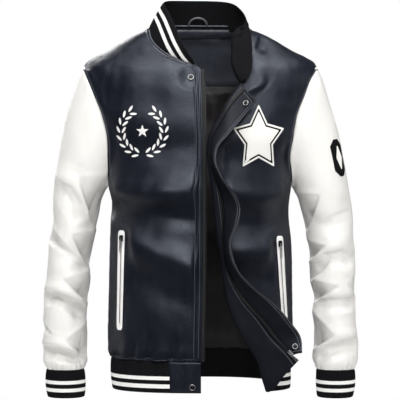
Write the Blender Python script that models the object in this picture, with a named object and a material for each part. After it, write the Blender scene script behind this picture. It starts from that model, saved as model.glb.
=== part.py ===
"""Varsity jacket in its worn shape, open at the front with the left edge turned outwards.

Cloth pieces are thin walls over grids of points worked out from the garment's sizes. Sizes are in
millimetres until a mesh is made. +X is the wearer's left, -Y the front, +Z up, and the origin lies
between the shoulders at the neck base.
"""

from collections import namedtuple
import math

import bmesh
import bpy
from mathutils import Matrix, Vector
from mathutils.bvhtree import BVHTree
import numpy as np

for existing in list(bpy.data.objects):
    bpy.data.objects.remove(existing, do_unlink=True)

MM = 0.001
SEAM_GAP = 0.3
CLOTH = 2.0
RIB = 3.0
RIGHT = -1
LEFT = 1
FRONT = -1
BACK = 1

NAVY = (0.018, 0.022, 0.035, 1)
OFF_WHITE = (0.85, 0.84, 0.81, 1)
BLACK = (0.010, 0.010, 0.012, 1)
LINING_COLOUR = (0.020, 0.017, 0.018, 1)
METAL = (0.32, 0.32, 0.34, 1)

# Body: side seam, armhole and shoulder line half widths, and depths before and behind the side seam.
Level = namedtuple("Level", "z right left front back")
BODY = [
    Level(0, 98, 93, 20, 54),
    Level(-9, 120, 117, 32, 66),
    Level(-35, 165, 163, 55, 86),
    Level(-69, 220, 219, 80, 101),
    Level(-95, 211, 206, 95, 110),
    Level(-112, 204, 200, 102, 113),
    Level(-152, 187, 182, 112, 117),
    Level(-197, 174, 173, 119, 118),
    Level(-234, 172, 166, 121, 116),
    Level(-273, 172, 170, 121, 113),
    Level(-296, 173, 171, 121, 112),
    Level(-320, 167, 167, 120, 109),
    Level(-355, 169, 166, 118, 105),
    Level(-388, 170, 170, 117, 102),
    Level(-485, 172, 172, 114, 101),
    Level(-590, 174, 173, 112, 107),
    Level(-617, 168, 168, 106, 103),
]
BODY_ROUNDNESS = 2.35
SHOULDER_TIP_Z = -69.0
UNDERARM_Z = -296.0
ARMHOLE_DEPTH = 66.0
ARMHOLE_STEPS = 9
NECK_SEAM_Y = 8.0
SHOULDER_ROWS = [0, -9, -24, -41, -56, -64]
SIDE_ROWS = [-324, -358, -394, -430, -466, -502, -540, -580, -617]
HEM_SEAM_Z = -617.0
HEM_BOTTOM_Z = -675.0
BACK_HEM_RISE = 9.0

# Inner edge of each front: the neckline, then the zip edge (right) or the roll of the open edge (left).
Edge = namedtuple("Edge", "z x")
RIGHT_EDGE = [
    Edge(0, -96), Edge(-9, -94), Edge(-24, -87), Edge(-41, -70), Edge(-56, -46), Edge(-64, -28),
    Edge(-69, -10), Edge(-76, 0), Edge(-130, 3), Edge(-420, 4), Edge(-617, 1), Edge(-675, 0),
]
LEFT_EDGE = [
    Edge(0, 90), Edge(-9, 80), Edge(-24, 67), Edge(-41, 60), Edge(-57, 58), Edge(-69, 59),
    Edge(-80, 62), Edge(-103, 74), Edge(-133, 51), Edge(-169, 31), Edge(-199, 16), Edge(-225, 11),
    Edge(-248, 13), Edge(-300, 21), Edge(-366, 28), Edge(-426, 37), Edge(-488, 46), Edge(-533, 58),
    Edge(-576, 81), Edge(-621, 106), Edge(-656, 115), Edge(-676, 122),
]
LEFT_NECK_END_Z = -103.0
ROLL_RADIUS = 5.0

# Open left edge: where each level of the roll meets the zip line and the free edge of the storm flap.
Turned = namedtuple("Turned", "roll_z zip_x zip_z flap_x flap_z")
OPEN_EDGE = [
    Turned(-103, 80, -110, 103, -137),
    Turned(-133, 57, -133, 76, -170),
    Turned(-169, 37, -170, 53, -197),
    Turned(-199, 22, -199, 32, -223),
    Turned(-225, 17, -225, 28, -238),
    Turned(-248, 19, -248, 30, -254),
    Turned(-278, 28, -278, 44, -281),
    Turned(-300, 32, -300, 63, -307),
    Turned(-328, 36, -328, 73, -335),
    Turned(-366, 40, -366, 67, -366),
    Turned(-400, 41, -400, 56, -400),
    Turned(-426, 44, -426, 63, -430),
    Turned(-454, 50, -454, 81, -461),
    Turned(-488, 66, -488, 121, -493),
    Turned(-533, 106, -534, 164, -541),
    Turned(-576, 131, -568, 185, -570),
    Turned(-621, 170, -606, 187, -600),
    Turned(-676, 181, -616, 188, -600),
]
FLAP_WIDTH = 45.0
FLAP_REACH_X = 130.0

# Sleeves from the armhole to the cuff's end: the outer and the inner silhouette point of each ring.
Ring = namedtuple("Ring", "outer_x outer_z inner_x inner_z")
SLEEVE_RIGHT = [
    Ring(232, -98, 177, -299), Ring(248, -143, 179, -302), Ring(259, -195, 181, -306),
    Ring(269, -251, 184, -313), Ring(276, -308, 188, -325), Ring(277, -338, 191, -343),
    Ring(277, -368, 197, -368), Ring(284, -390, 201, -394), Ring(285, -420, 206, -420),
    Ring(287, -450, 211, -446), Ring(289, -474, 208, -471), Ring(294, -501, 213, -501),
    Ring(294, -521, 216, -525), Ring(295, -548, 217, -549), Ring(294, -568, 214, -570),
    Ring(296, -589, 214, -593), Ring(295, -609, 215, -611), Ring(293, -624, 217, -624),
    Ring(289, -638, 220, -638), Ring(289, -664, 219, -664), Ring(286, -690, 220, -690),
]
SLEEVE_LEFT = [
    Ring(230, -98, 176, -299), Ring(244, -143, 178, -302), Ring(259, -195, 180, -306),
    Ring(270, -251, 183, -312), Ring(279, -304, 186, -323), Ring(284, -334, 189, -338),
    Ring(287, -360, 195, -360), Ring(287, -386, 201, -390), Ring(289, -416, 205, -416),
    Ring(291, -444, 206, -444), Ring(290, -472, 208, -474), Ring(291, -504, 215, -504),
    Ring(291, -529, 212, -529), Ring(292, -561, 214, -562), Ring(296, -591, 214, -591),
    Ring(294, -613, 213, -613), Ring(291, -626, 217, -626), Ring(289, -638, 219, -638),
    Ring(289, -664, 220, -664), Ring(285, -690, 221, -690),
]
CUFF_RINGS = 3
Depth = namedtuple("Depth", "z half centre_y")
SLEEVE_DEPTH = [
    Depth(-182, 66, 1), Depth(-330, 60, 0), Depth(-450, 53, -8), Depth(-560, 49, -15),
    Depth(-626, 46, -18), Depth(-638, 40, -18), Depth(-690, 38, -18),
]
ARMHOLE_HOLLOW = [15, 12, 8, 4, 2]

# Free edge of the collar, along the neckline from the right front end (0) to the left front end (1).
Free = namedtuple("Free", "along x y z")
COLLAR_TOP = [
    Free(0.00, -15, -80, -60), Free(0.08, -29, -77, -36), Free(0.15, -42, -56, -8),
    Free(0.21, -54, -34, 22), Free(0.28, -69, 2, 50), Free(0.36, -56, 34, 57),
    Free(0.43, -30, 48, 58), Free(0.50, 0, 52, 58), Free(0.57, 30, 48, 57),
    Free(0.64, 58, 32, 52), Free(0.71, 78, 4, 34), Free(0.78, 90, -26, 5),
    Free(0.85, 96, -58, -28), Free(0.91, 96, -82, -62), Free(0.96, 91, -97, -84),
    Free(1.00, 84, -104, -96),
]
COLLAR_ROWS = 4
COLLAR_STAND = 6.0

# Largest folds: a soft trough along a line over the front (-1) or back (1) of a piece.
Fold = namedtuple("Fold", "piece face x1 z1 x2 z2 depth width")
FOLDS = [
    Fold("front_right", FRONT, -160, -340, -60, -420, 5, 24),
    Fold("front_right", FRONT, -120, -300, -30, -310, 4, 22),
    Fold("front_right", FRONT, -196, -90, -178, -200, 4, 16),
    Fold("front_left", FRONT, 160, -330, 70, -330, 5, 24),
    Fold("front_left", FRONT, 150, -470, 90, -500, 4, 24),
    Fold("back", BACK, -150, -330, 20, -390, 5, 30),
    Fold("back", BACK, 150, -345, -10, -420, 5, 30),
    Fold("back", BACK, -120, -520, 120, -505, 5, 32),
    Fold("sleeve_right", FRONT, -230, -285, -205, -370, 6, 22),
    Fold("sleeve_right", FRONT, -280, -395, -222, -440, 6, 16),
    Fold("sleeve_right", FRONT, -293, -490, -214, -525, 6, 12),
    Fold("sleeve_right", FRONT, -296, -590, -215, -612, 6, 12),
    Fold("sleeve_right", BACK, -285, -400, -215, -452, 6, 16),
    Fold("sleeve_right", BACK, -292, -540, -218, -500, 6, 14),
    Fold("sleeve_left", FRONT, 276, -338, 216, -360, 6, 18),
    Fold("sleeve_left", FRONT, 282, -415, 208, -432, 6, 14),
    Fold("sleeve_left", FRONT, 289, -497, 216, -510, 6, 12),
    Fold("sleeve_left", FRONT, 292, -574, 216, -606, 6, 12),
    Fold("sleeve_left", BACK, 285, -410, 210, -455, 6, 16),
    Fold("sleeve_left", BACK, 291, -535, 214, -500, 6, 14),
]


def read_table(table, column, key, at):
    """Smooth value of one named column of a table at a value of its key column."""
    rows = sorted(table, key=lambda row: getattr(row, key))
    keys = np.array([getattr(row, key) for row in rows], float)
    values = np.array([getattr(row, column) for row in rows], float)
    slopes = np.diff(values) / np.diff(keys)
    tangents = np.concatenate([slopes[:1], np.zeros(len(slopes) - 1), slopes[-1:]])
    for index in range(1, len(slopes)):
        before, after = slopes[index - 1], slopes[index]
        if before * after > 0:
            tangents[index] = 2 * before * after / (before + after)
    at = min(max(at, keys[0]), keys[-1])
    index = min(int(np.searchsorted(keys, at, side="right")) - 1, len(slopes) - 1)
    span = keys[index + 1] - keys[index]
    share = (at - keys[index]) / span
    return float(
        values[index] * (1 + 2 * share) * (1 - share) ** 2
        + tangents[index] * span * share * (1 - share) ** 2
        + values[index + 1] * share ** 2 * (3 - 2 * share)
        + tangents[index + 1] * span * share ** 2 * (share - 1)
    )


def resample(path, shares):
    """Points of a path at shares of its length."""
    path = np.array(path, float)
    steps = np.linalg.norm(np.diff(path, axis=0), axis=1)
    length = np.concatenate([[0], np.cumsum(steps)])
    at = np.array(shares) * length[-1]
    return np.stack([np.interp(at, length, path[:, axis]) for axis in range(3)], axis=1)


def seam_y(z):
    """Y of the shoulder and side seams."""
    return float(np.interp(z, [UNDERARM_Z, SHOULDER_TIP_Z, 0], [0, 6, NECK_SEAM_Y]))


def edge_half_width(z, side):
    """Half width at the shoulder seam, armhole or side seam."""
    return read_table(BODY, "left" if side == LEFT else "right", "z", z)


def armhole_reach(z):
    """How far the armhole edge lies before or behind the shoulder and side seams."""
    middle = (SHOULDER_TIP_Z + UNDERARM_Z) / 2
    half = (SHOULDER_TIP_Z - UNDERARM_Z) / 2
    return ARMHOLE_DEPTH * math.sqrt(max(0.0, 1 - ((z - middle) / half) ** 2))


def body_section(z, side, face):
    """Full half width and depth of the rounded section that a panel follows at a level."""
    depth = read_table(BODY, "front" if face == FRONT else "back", "z", z)
    cut = (1 - (armhole_reach(z) / depth) ** BODY_ROUNDNESS) ** (1 / BODY_ROUNDNESS)
    return edge_half_width(z, side) / cut, depth


def body_y(x, z, face):
    """Y of the body's surface at a place seen from the front."""
    full, depth = body_section(z, LEFT if x > 0 else RIGHT, face)
    ratio = min(abs(x) / full, 1)
    return seam_y(z) + face * depth * (1 - ratio ** BODY_ROUNDNESS) ** (1 / BODY_ROUNDNESS)


def panel_path(side, face, x_in, z_in, z_out, steps=60):
    """Section of a body panel from its inner edge out to its shoulder, armhole or side seam."""
    power = 2 / BODY_ROUNDNESS
    path = []
    for share in np.linspace(0, 1, steps):
        z = z_in + (z_out - z_in) * share
        full, depth = body_section(z, side, face)
        inner = side * x_in / full
        start = math.copysign(math.asin(min(abs(inner), 1) ** (1 / power)), inner)
        end = math.asin(min(edge_half_width(z, side) / full, 1) ** (1 / power))
        turn = start + (end - start) * share
        x = side * full * math.copysign(abs(math.sin(turn)) ** power, turn)
        path.append((x, seam_y(z) + face * depth * abs(math.cos(turn)) ** power, z))
    return path


def fold_offset(piece, face, x, z):
    """Depth of the folds of a piece at a place."""
    total = 0.0
    for fold in FOLDS:
        if fold.piece != piece or fold.face != face:
            continue
        start = np.array([fold.x1, fold.z1], float)
        line = np.array([fold.x2, fold.z2]) - start
        share = np.clip(np.dot(np.array([x, z]) - start, line) / np.dot(line, line), 0, 1)
        distance = np.linalg.norm(np.array([x, z]) - start - share * line)
        total += fold.depth * math.exp(-((distance / fold.width) ** 2))
    return total


def grid_normals(grid, closed):
    """Unit normals of a grid of points, pointing away from the garment's inside."""
    if closed:
        along = np.roll(grid, -1, axis=1) - np.roll(grid, 1, axis=1)
    else:
        along = np.gradient(grid, axis=1)
    down = np.gradient(grid, axis=0)
    normals = np.cross(along, down)
    return normals / np.linalg.norm(normals, axis=2, keepdims=True)


class Cloth:
    """One cut piece: a grid of points over its middle, rows by columns."""

    def __init__(self, name, grid, thickness, colour, closed=False, outward=None, fold_face=None):
        self.name = name
        self.grid = np.array(grid, float)
        self.thickness = thickness
        self.colour = colour
        self.closed = closed
        self.halves = np.full(self.grid.shape[:2] + (1,), thickness / 2)
        self.normals = grid_normals(self.grid, closed)
        middle = self.normals[len(grid) // 2, len(grid[0]) // 2]
        if outward is not None and np.dot(middle, outward(self.grid)) < 0:
            self.normals = -self.normals
        self.fold(fold_face)

    def fold(self, face):
        """Press the folds into the grid, leaving its seams where they are."""
        if face is None:
            return
        rows, columns = self.grid.shape[:2]
        for row in range(1, rows - 1):
            for column in range(columns):
                if not self.closed and column in (0, columns - 1):
                    continue
                x, y, z = self.grid[row, column]
                side = face if face != 0 else (BACK if self.normals[row, column, 1] > 0 else FRONT)
                fade = min(1, abs(self.normals[row, column, 1]) * 2)
                depth = fold_offset(self.name, side, x, z) * fade
                self.grid[row, column] -= self.normals[row, column] * depth

    def rim(self):
        """Row and column of each point on an open edge."""
        rows, columns = self.grid.shape[:2]
        places = [(row, column) for row in (0, rows - 1) for column in range(columns)]
        if not self.closed:
            places += [(row, column) for row in range(1, rows - 1) for column in (0, columns - 1)]
        return places


def sew(pieces):
    """Give meeting edges one shared normal and thickness, so that their rims face each other."""
    places = {}
    for piece in pieces:
        for row, column in piece.rim():
            key = tuple(np.round(piece.grid[row, column] * 10).astype(int))
            places.setdefault(key, []).append((piece, row, column))
    matched = set()
    for meeting in places.values():
        if len({piece.name for piece, _, _ in meeting}) < 2:
            continue
        shared = sum(piece.normals[row, column] for piece, row, column in meeting)
        shared = shared / np.linalg.norm(shared)
        half = min(piece.thickness for piece, _, _ in meeting) / 2
        for piece, row, column in meeting:
            piece.normals[row, column] = shared
            piece.halves[row, column] = half
            matched.add((piece.name, row, column))
    for piece in pieces:
        columns = piece.grid.shape[1]
        for row in (0, len(piece.grid) - 1):
            known = [column for column in range(columns) if (piece.name, row, column) in matched]
            for left, right in zip(known, known[1:]):
                for column in range(left + 1, right):
                    share = (column - left) / (right - left)
                    normal = (1 - share) * piece.normals[row, left] + share * piece.normals[row, right]
                    piece.normals[row, column] = normal / np.linalg.norm(normal)


def trimmed(grid, closed):
    """Grid drawn back from its edges by half a seam gap."""
    grid = grid.copy()
    for edge, inside in ((0, 1), (-1, -2)):
        step = grid[inside] - grid[edge]
        grid[edge] += step / np.linalg.norm(step, axis=1, keepdims=True) * SEAM_GAP / 2
    if not closed:
        for edge, inside in ((0, 1), (-1, -2)):
            step = grid[:, inside] - grid[:, edge]
            grid[:, edge] += step / np.linalg.norm(step, axis=1, keepdims=True) * SEAM_GAP / 2
    return grid


def add_object(name, vertices, faces, colour, roughness=0.6, metallic=0.0, smooth=True):
    """Object with a closed mesh and its own material; vertices are in millimetres."""
    mesh = bpy.data.meshes.new(name)
    mesh.from_pydata([Vector(vertex) * MM for vertex in vertices], [], faces)
    work = bmesh.new()
    work.from_mesh(mesh)
    bmesh.ops.recalc_face_normals(work, faces=work.faces)
    work.to_mesh(mesh)
    work.free()
    if smooth:
        mesh.shade_smooth()
        mesh.set_sharp_from_angle(angle=math.radians(40))
    material = bpy.data.materials.new(name)
    material.use_nodes = True
    shader = material.node_tree.nodes["Principled BSDF"]
    shader.inputs["Base Color"].default_value = colour
    shader.inputs["Roughness"].default_value = roughness
    shader.inputs["Metallic"].default_value = metallic
    mesh.materials.append(material)
    item = bpy.data.objects.new(name, mesh)
    bpy.context.collection.objects.link(item)
    return item


def make_wall(piece):
    """Closed wall of a cloth piece: its two faces and the rims between them."""
    grid = trimmed(piece.grid, piece.closed)
    rows, columns = grid.shape[:2]
    half_wall = piece.normals * piece.halves
    vertices = np.concatenate([(grid + half_wall).reshape(-1, 3), (grid - half_wall).reshape(-1, 3)])
    layer = rows * columns
    turns = columns if piece.closed else columns - 1
    faces = []
    for row in range(rows - 1):
        for column in range(turns):
            beside = (column + 1) % columns
            start, end = row * columns + column, (row + 1) * columns + beside
            for corner in (row * columns + beside, (row + 1) * columns + column):
                faces.append([start, corner, end])
                faces.append([end + layer, corner + layer, start + layer])
    rims = [[(row * columns + column, row * columns + (column + 1) % columns)
             for column in range(turns)] for row in (0, rows - 1)]
    if not piece.closed:
        rims += [[(row * columns + column, (row + 1) * columns + column)
                  for row in range(rows - 1)] for column in (0, columns - 1)]
    for rim in rims:
        faces += [[start, end, end + layer, start + layer] for start, end in rim]
    return add_object(piece.name, vertices, faces, piece.colour)


# --- Body panels ---------------------------------------------------------------------------------

ARMHOLE_ROWS = [
    (SHOULDER_TIP_Z + UNDERARM_Z) / 2
    + (SHOULDER_TIP_Z - UNDERARM_Z) / 2 * math.cos(math.pi * step / ARMHOLE_STEPS)
    for step in range(ARMHOLE_STEPS + 1)
]
BODY_ROWS = SHOULDER_ROWS + ARMHOLE_ROWS + SIDE_ROWS
TIP_ROW = len(SHOULDER_ROWS)
UNDERARM_ROW = TIP_ROW + ARMHOLE_STEPS
HEM_ROWS = [HEM_BOTTOM_Z + 29, HEM_BOTTOM_Z]
FRONT_SHARES = [0, 0.09, 0.18, 0.27, 0.39, 0.51, 0.63, 0.75, 0.87, 1]
ROLLED_SHARES = [0, 0.02, 0.04, 0.13, 0.25, 0.38, 0.51, 0.64, 0.76, 0.88, 1]
BACK_SHARES = np.linspace(0, 1, 9)
EASE_ROUNDS = 6
EASE_REACH = 3
EASE_FROM = 4


def left_inner_z(z_out):
    """Level of the inner end of a left front row whose outer end is at a level."""
    return z_out + float(np.interp(z_out, [UNDERARM_Z, -200, -96, -76, -69], [0, -3, -7.4, -4, 0]))


def roll_radius(z):
    """Radius of the roll at the open edge; it starts at the end of the neckline."""
    return ROLL_RADIUS * float(np.clip((LEFT_NECK_END_Z + 10 - z) / 20, 0, 1))


def rolled_path(z_in, z_out):
    """Section of the left front, from the tip of the roll round to the side."""
    radius = roll_radius(z_in)
    edge = read_table(LEFT_EDGE, "x", "z", z_in)
    path = panel_path(LEFT, FRONT, edge + radius, z_in, z_out)
    if radius == 0:
        return path
    x, y, z = path[0]
    roll = [(x - radius * math.cos(turn), y - radius * (1 - math.sin(turn)), z)
            for turn in np.linspace(0, math.pi / 2, 9)[:-1]]
    return roll + path


def lift_back_hem(points):
    """Raise the back's lower edge a little, as it hangs when worn."""
    points = np.array(points, float)
    share = np.clip((-450 - points[:, 2]) / 170, 0, 1) * np.clip(points[:, 1] / 105, 0, 1)
    points[:, 2] += BACK_HEM_RISE * share
    return points


def back_row(z):
    """Section of the back from the right seam to the left seam."""
    right = resample(panel_path(RIGHT, BACK, 0, z, z), BACK_SHARES)
    left = resample(panel_path(LEFT, BACK, 0, z, z), BACK_SHARES)
    return lift_back_hem(np.concatenate([right[::-1], left[1:]]))


def forwards(grid):
    return (0, FRONT, 0)


def backwards(grid):
    return (0, BACK, 0)


def from_axis(grid):
    rows, columns = grid.shape[:2]
    middle = grid[rows // 2, columns // 2] - grid[rows // 2].mean(axis=0)
    return middle


def ease_underarm(rows):
    """Even out the points of a panel around the underarm's and the shoulder tip's level, off its edges."""
    for _ in range(EASE_ROUNDS):
        before = np.array(rows)
        means = (before[:-2, 1:-1] + before[2:, 1:-1] + before[1:-1, :-2] + before[1:-1, 2:]) / 4
        for level in (TIP_ROW, UNDERARM_ROW):
            for row in range(level - EASE_REACH, level + EASE_REACH + 1):
                for column in range(EASE_FROM, before.shape[1] - 1):
                    rows[row][column] = (before[row, column] + means[row - 1, column - 1]) / 2


front_right_grid = [
    resample(panel_path(RIGHT, FRONT, read_table(RIGHT_EDGE, "x", "z", z), z, z), FRONT_SHARES)
    for z in BODY_ROWS
]
front_left_grid = [
    resample(rolled_path(left_inner_z(z), z), ROLLED_SHARES if z < -100 else np.linspace(0, 1, 11))
    for z in BODY_ROWS
]
back_grid = [back_row(z) for z in BODY_ROWS]
for panel in (front_right_grid, front_left_grid, back_grid):
    ease_underarm(panel)
front_right = Cloth("front_right", front_right_grid, CLOTH, NAVY, outward=forwards, fold_face=FRONT)
front_left = Cloth("front_left", front_left_grid, CLOTH, NAVY, outward=forwards, fold_face=FRONT)
back = Cloth("back", back_grid, CLOTH, NAVY, outward=backwards, fold_face=BACK)

# --- Hem band ------------------------------------------------------------------------------------

TAB_COLUMNS = 4


def hem_rows(top):
    """Rows of the hem band below a row of panel points."""
    rows = [np.array(top, float)]
    for level, z in enumerate(HEM_ROWS):
        row = rows[0].copy()
        draw = 1 - 0.006 * (level + 1)
        row[:, :2] *= draw
        row[:, 2] += z - HEM_SEAM_Z
        rows.append(row)
    return rows


right_hem = hem_rows(front_right.grid[-1])
back_hem = hem_rows(back.grid[-1])
left_hem = hem_rows(front_left.grid[-1])
for level, z in enumerate(HEM_ROWS, start=1):
    left_hem[level] = resample(
        [(x, y, z) for x, y, _ in rolled_path(z, z)], ROLLED_SHARES
    )
    left_hem[level][-1] = back_hem[level][-1]
tab_grid = [row[:TAB_COLUMNS] for row in right_hem]
band_grid = [
    np.concatenate([right[TAB_COLUMNS - 1:], rear[1:], left[::-1][1:]])
    for right, rear, left in zip(right_hem, back_hem, left_hem)
]
hem_tab_right = Cloth("hem_tab_right", tab_grid, RIB, NAVY, outward=forwards)
hem_rib = Cloth("hem_rib", band_grid, RIB, BLACK, outward=backwards)

# --- Turned-out edge of the left front -----------------------------------------------------------

OPEN_ROW = TIP_ROW + 2
FLAP_ROOT = 10.0
FLAP_COLUMNS = 4
FACING_COLUMNS = 3


def zip_point(z):
    """Point of the zip line that lies beside a level of the roll."""
    x = read_table(OPEN_EDGE, "zip_x", "roll_z", z)
    zip_z = read_table(OPEN_EDGE, "zip_z", "roll_z", z)
    stand = 2 * roll_radius(z) + float(np.interp(z, [-620, -400], [9, 2]))
    return np.array([x, body_y(min(x, FLAP_REACH_X), max(zip_z, HEM_SEAM_Z), FRONT) - stand, zip_z])


def facing_row(root):
    """Section of the facing: half way round the roll from its tip, then flat to the zip line."""
    radius = roll_radius(root[2])
    turned = root + radius * np.array([1, -1, 0])
    half_way = root + radius * np.array([1 - math.sqrt(0.5), -math.sqrt(0.5), 0])
    return np.array([root, half_way] + list(np.linspace(turned, zip_point(root[2]), FACING_COLUMNS)))


def flap_path(z):
    """Section of the storm flap from the zip line to its free edge, which flutters forwards."""
    root = zip_point(z)
    x = read_table(OPEN_EDGE, "flap_x", "roll_z", z)
    edge_z = read_table(OPEN_EDGE, "flap_z", "roll_z", z)
    seen = math.hypot(x - root[0], edge_z - root[2])
    forward = math.sqrt(max(FLAP_WIDTH ** 2 - seen ** 2, 4.0))
    forward *= float(np.interp(z, [HEM_SEAM_Z, HEM_SEAM_Z + 60], [0.3, 1]))
    edge = np.array([x, root[1] - forward, edge_z])
    knee = (root + edge) / 2 + np.array([-0.15, -0.15, 0]) * forward
    return [(1 - s) ** 2 * root + 2 * s * (1 - s) * knee + s ** 2 * edge for s in np.linspace(0, 1, 21)]


def flap_row(z):
    """Flap points: the root, a point a zip tape's width away, then even steps to the free edge."""
    path = flap_path(z)
    length = sum(np.linalg.norm(b - a) for a, b in zip(path, path[1:]))
    first = FLAP_ROOT / length
    return resample(path, [0] + list(np.linspace(first, 1, FLAP_COLUMNS)))


roots = [row[0] for row in front_left.grid[OPEN_ROW:]] + [row[0] for row in left_hem[1:]]
facing_left = Cloth("facing_left", [facing_row(root) for root in roots], CLOTH, NAVY, outward=backwards)
storm_flap = Cloth("storm_flap", [flap_row(root[2]) for root in roots[:-2]], CLOTH, NAVY, outward=backwards)

# --- Sleeves and cuffs ---------------------------------------------------------------------------

SLEEVE_POINTS = 2 * ARMHOLE_STEPS


def armhole_ring(side, front):
    """Ring of the armhole's points: the shoulder tip, down the front, the underarm, up the back."""
    seam_column = 0 if side == RIGHT else -1
    down = front.grid[TIP_ROW:UNDERARM_ROW + 1, -1]
    up = back.grid[TIP_ROW:UNDERARM_ROW + 1, seam_column][::-1]
    return np.concatenate([down, up[1:-1]])


def sleeve_ring(side, ring, index):
    """Ring of a sleeve or cuff between its outer and inner silhouette points."""
    outer = np.array([side * ring.outer_x, 0, ring.outer_z], float)
    inner = np.array([side * ring.inner_x, 0, ring.inner_z], float)
    centre = (outer + inner) / 2
    reach = (outer - inner) / 2
    half = read_table(SLEEVE_DEPTH, "half", "z", centre[2])
    centre[1] = read_table(SLEEVE_DEPTH, "centre_y", "z", centre[2])
    hollow = ARMHOLE_HOLLOW[index] if index < len(ARMHOLE_HOLLOW) else 0
    points = []
    for step in range(SLEEVE_POINTS):
        turn = 2 * math.pi * step / SLEEVE_POINTS
        point = centre + reach * math.cos(turn) + np.array([0, -half * math.sin(turn), 0])
        point[0] -= side * hollow * math.sin(turn) ** 2
        points.append(point)
    return points


def sleeve_pieces(side, name, table, front):
    """Sleeve from the armhole to its rib seam, and the cuff beyond it."""
    rings = [armhole_ring(side, front)]
    rings += [np.array(sleeve_ring(side, ring, index)) for index, ring in enumerate(table)]
    sleeve_rings, cuff_rings = rings[:-CUFF_RINGS + 1], rings[-CUFF_RINGS:]
    sleeve = Cloth("sleeve_" + name, sleeve_rings, CLOTH, OFF_WHITE, closed=True,
                   outward=from_axis, fold_face=0)
    cuff = Cloth("cuff_" + name, cuff_rings, RIB, BLACK, closed=True, outward=from_axis)
    return sleeve, cuff


sleeve_right, cuff_right = sleeve_pieces(RIGHT, "right", SLEEVE_RIGHT, front_right)
sleeve_left, cuff_left = sleeve_pieces(LEFT, "left", SLEEVE_LEFT, front_left)

# --- Collar --------------------------------------------------------------------------------------

neckline = np.concatenate([
    front_right.grid[:TIP_ROW + 1, 0][::-1],
    back.grid[0],
    front_left.grid[:OPEN_ROW + 1, 0],
])
neck_steps = np.concatenate([[0], np.cumsum(np.linalg.norm(np.diff(neckline, axis=0), axis=1))])
neck_shares = neck_steps / neck_steps[-1]
free_edge = np.array([
    [read_table(COLLAR_TOP, axis, "along", share) for axis in "xyz"] for share in neck_shares
])
neck_out = np.concatenate([
    front_right.normals[:TIP_ROW + 1, 0][::-1],
    back.normals[0],
    front_left.normals[:OPEN_ROW + 1, 0],
])
turned_over = np.clip((neck_shares - 0.72) / 0.05, 0, 1)[:, None]
collar_foot = neckline + (free_edge - neckline) / COLLAR_ROWS * (1 - turned_over)
collar_foot += neck_out * COLLAR_STAND * turned_over
collar_grid = [neckline]
collar_grid += [collar_foot + (free_edge - collar_foot) * share for share in np.linspace(0, 1, COLLAR_ROWS)]
collar = Cloth("collar", collar_grid, RIB, BLACK, outward=backwards)

sewn = [front_right, front_left, back, hem_tab_right, hem_rib, facing_left, storm_flap,
        sleeve_right, cuff_right, sleeve_left, cuff_left, collar]

sew(sewn)
walls = {piece.name: make_wall(piece) for piece in sewn}

# --- Inside of the back ---------------------------------------------------------------------------

YOKE_ROW = TIP_ROW + 2
INSIDE_COLUMNS = slice(2, -2)
LINING = 1.4


def inside_piece(name, rows, columns, thickness, colour):
    """Piece that lies along the inside of the back over some of its rows and columns."""
    depth = (CLOTH + thickness) / 2 + 2 * SEAM_GAP
    grid = back.grid[rows, columns] - back.normals[rows, columns] * depth
    return Cloth(name, grid, thickness, colour, outward=backwards)


back_neck_facing = inside_piece("back_neck_facing", slice(1, YOKE_ROW + 1), INSIDE_COLUMNS, CLOTH, NAVY)
lining_back = inside_piece("lining_back", slice(YOKE_ROW, None), INSIDE_COLUMNS, LINING, LINING_COLOUR)
lining_back.grid[0] = back_neck_facing.grid[-1]
lining_back.normals[0] = back_neck_facing.normals[-1]
walls["back_neck_facing"] = make_wall(back_neck_facing)
walls["lining_back"] = make_wall(lining_back)

# --- Front zip tapes ------------------------------------------------------------------------------

TAPE = 1.0
TAPE_SHOWS = 7.0
TAPE_HELD = 9.0
TAPE_EDGE = 0.6


def tape_right_row(row):
    """Tape behind the straight edge of the right front, standing past it towards the open side."""
    edge, inner = front_right.grid[row, 0], front_right.grid[row, 1]
    across = (edge - inner) / np.linalg.norm(edge - inner)
    behind = -front_right.normals[row, 0] * ((CLOTH + TAPE) / 2 + 2 * SEAM_GAP)
    return np.array([edge + behind + across * TAPE_SHOWS, edge + behind - across * TAPE_HELD])


def tape_left_row(row):
    """Tape on the side of the storm flap that shows, along its seam."""
    root, inner = storm_flap.grid[row, 0], storm_flap.grid[row, 1]
    across = (inner - root) / np.linalg.norm(inner - root)
    before = -(storm_flap.normals[row, 0] + storm_flap.normals[row, 1]) / 2
    before *= (CLOTH + TAPE) / 2 + 2 * SEAM_GAP
    return np.array([root + before + across * TAPE_EDGE, inner + before - across * TAPE_EDGE])


tape_rows = range(TIP_ROW + 1, len(BODY_ROWS))
zip_tape_right = Cloth("zip_tape_right", [tape_right_row(row) for row in tape_rows], TAPE, BLACK)
flap_rows = range(len(storm_flap.grid))
zip_tape_left = Cloth("zip_tape_left", [tape_left_row(row) for row in flap_rows], TAPE, BLACK)
walls["zip_tape_right"] = make_wall(zip_tape_right)
walls["zip_tape_left"] = make_wall(zip_tape_left)

# --- Pieces laid on a panel -----------------------------------------------------------------------


def surface_tree(name):
    """Search tree of a wall's surface, in millimetres."""
    mesh = walls[name].data
    points = [vertex.co / MM for vertex in mesh.vertices]
    return BVHTree.FromPolygons(points, [face.vertices for face in mesh.polygons])


def front_hit(tree, x, z, swing=0.0, about_x=0.0):
    """Place and outward normal of a wall's nearest surface, seen from the front or swung round.

    The view swings towards +X about the upright line at about_x, and x is measured from that line.
    """
    towards = Vector((-math.sin(swing), math.cos(swing), 0))
    aside = Vector((math.cos(swing), math.sin(swing), 0))
    start = Vector((about_x, 0, z)) + aside * x - towards * 400
    place, normal, _, _ = tree.ray_cast(start, towards)
    return place, normal if normal.dot(towards) < 0 else -normal


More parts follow.
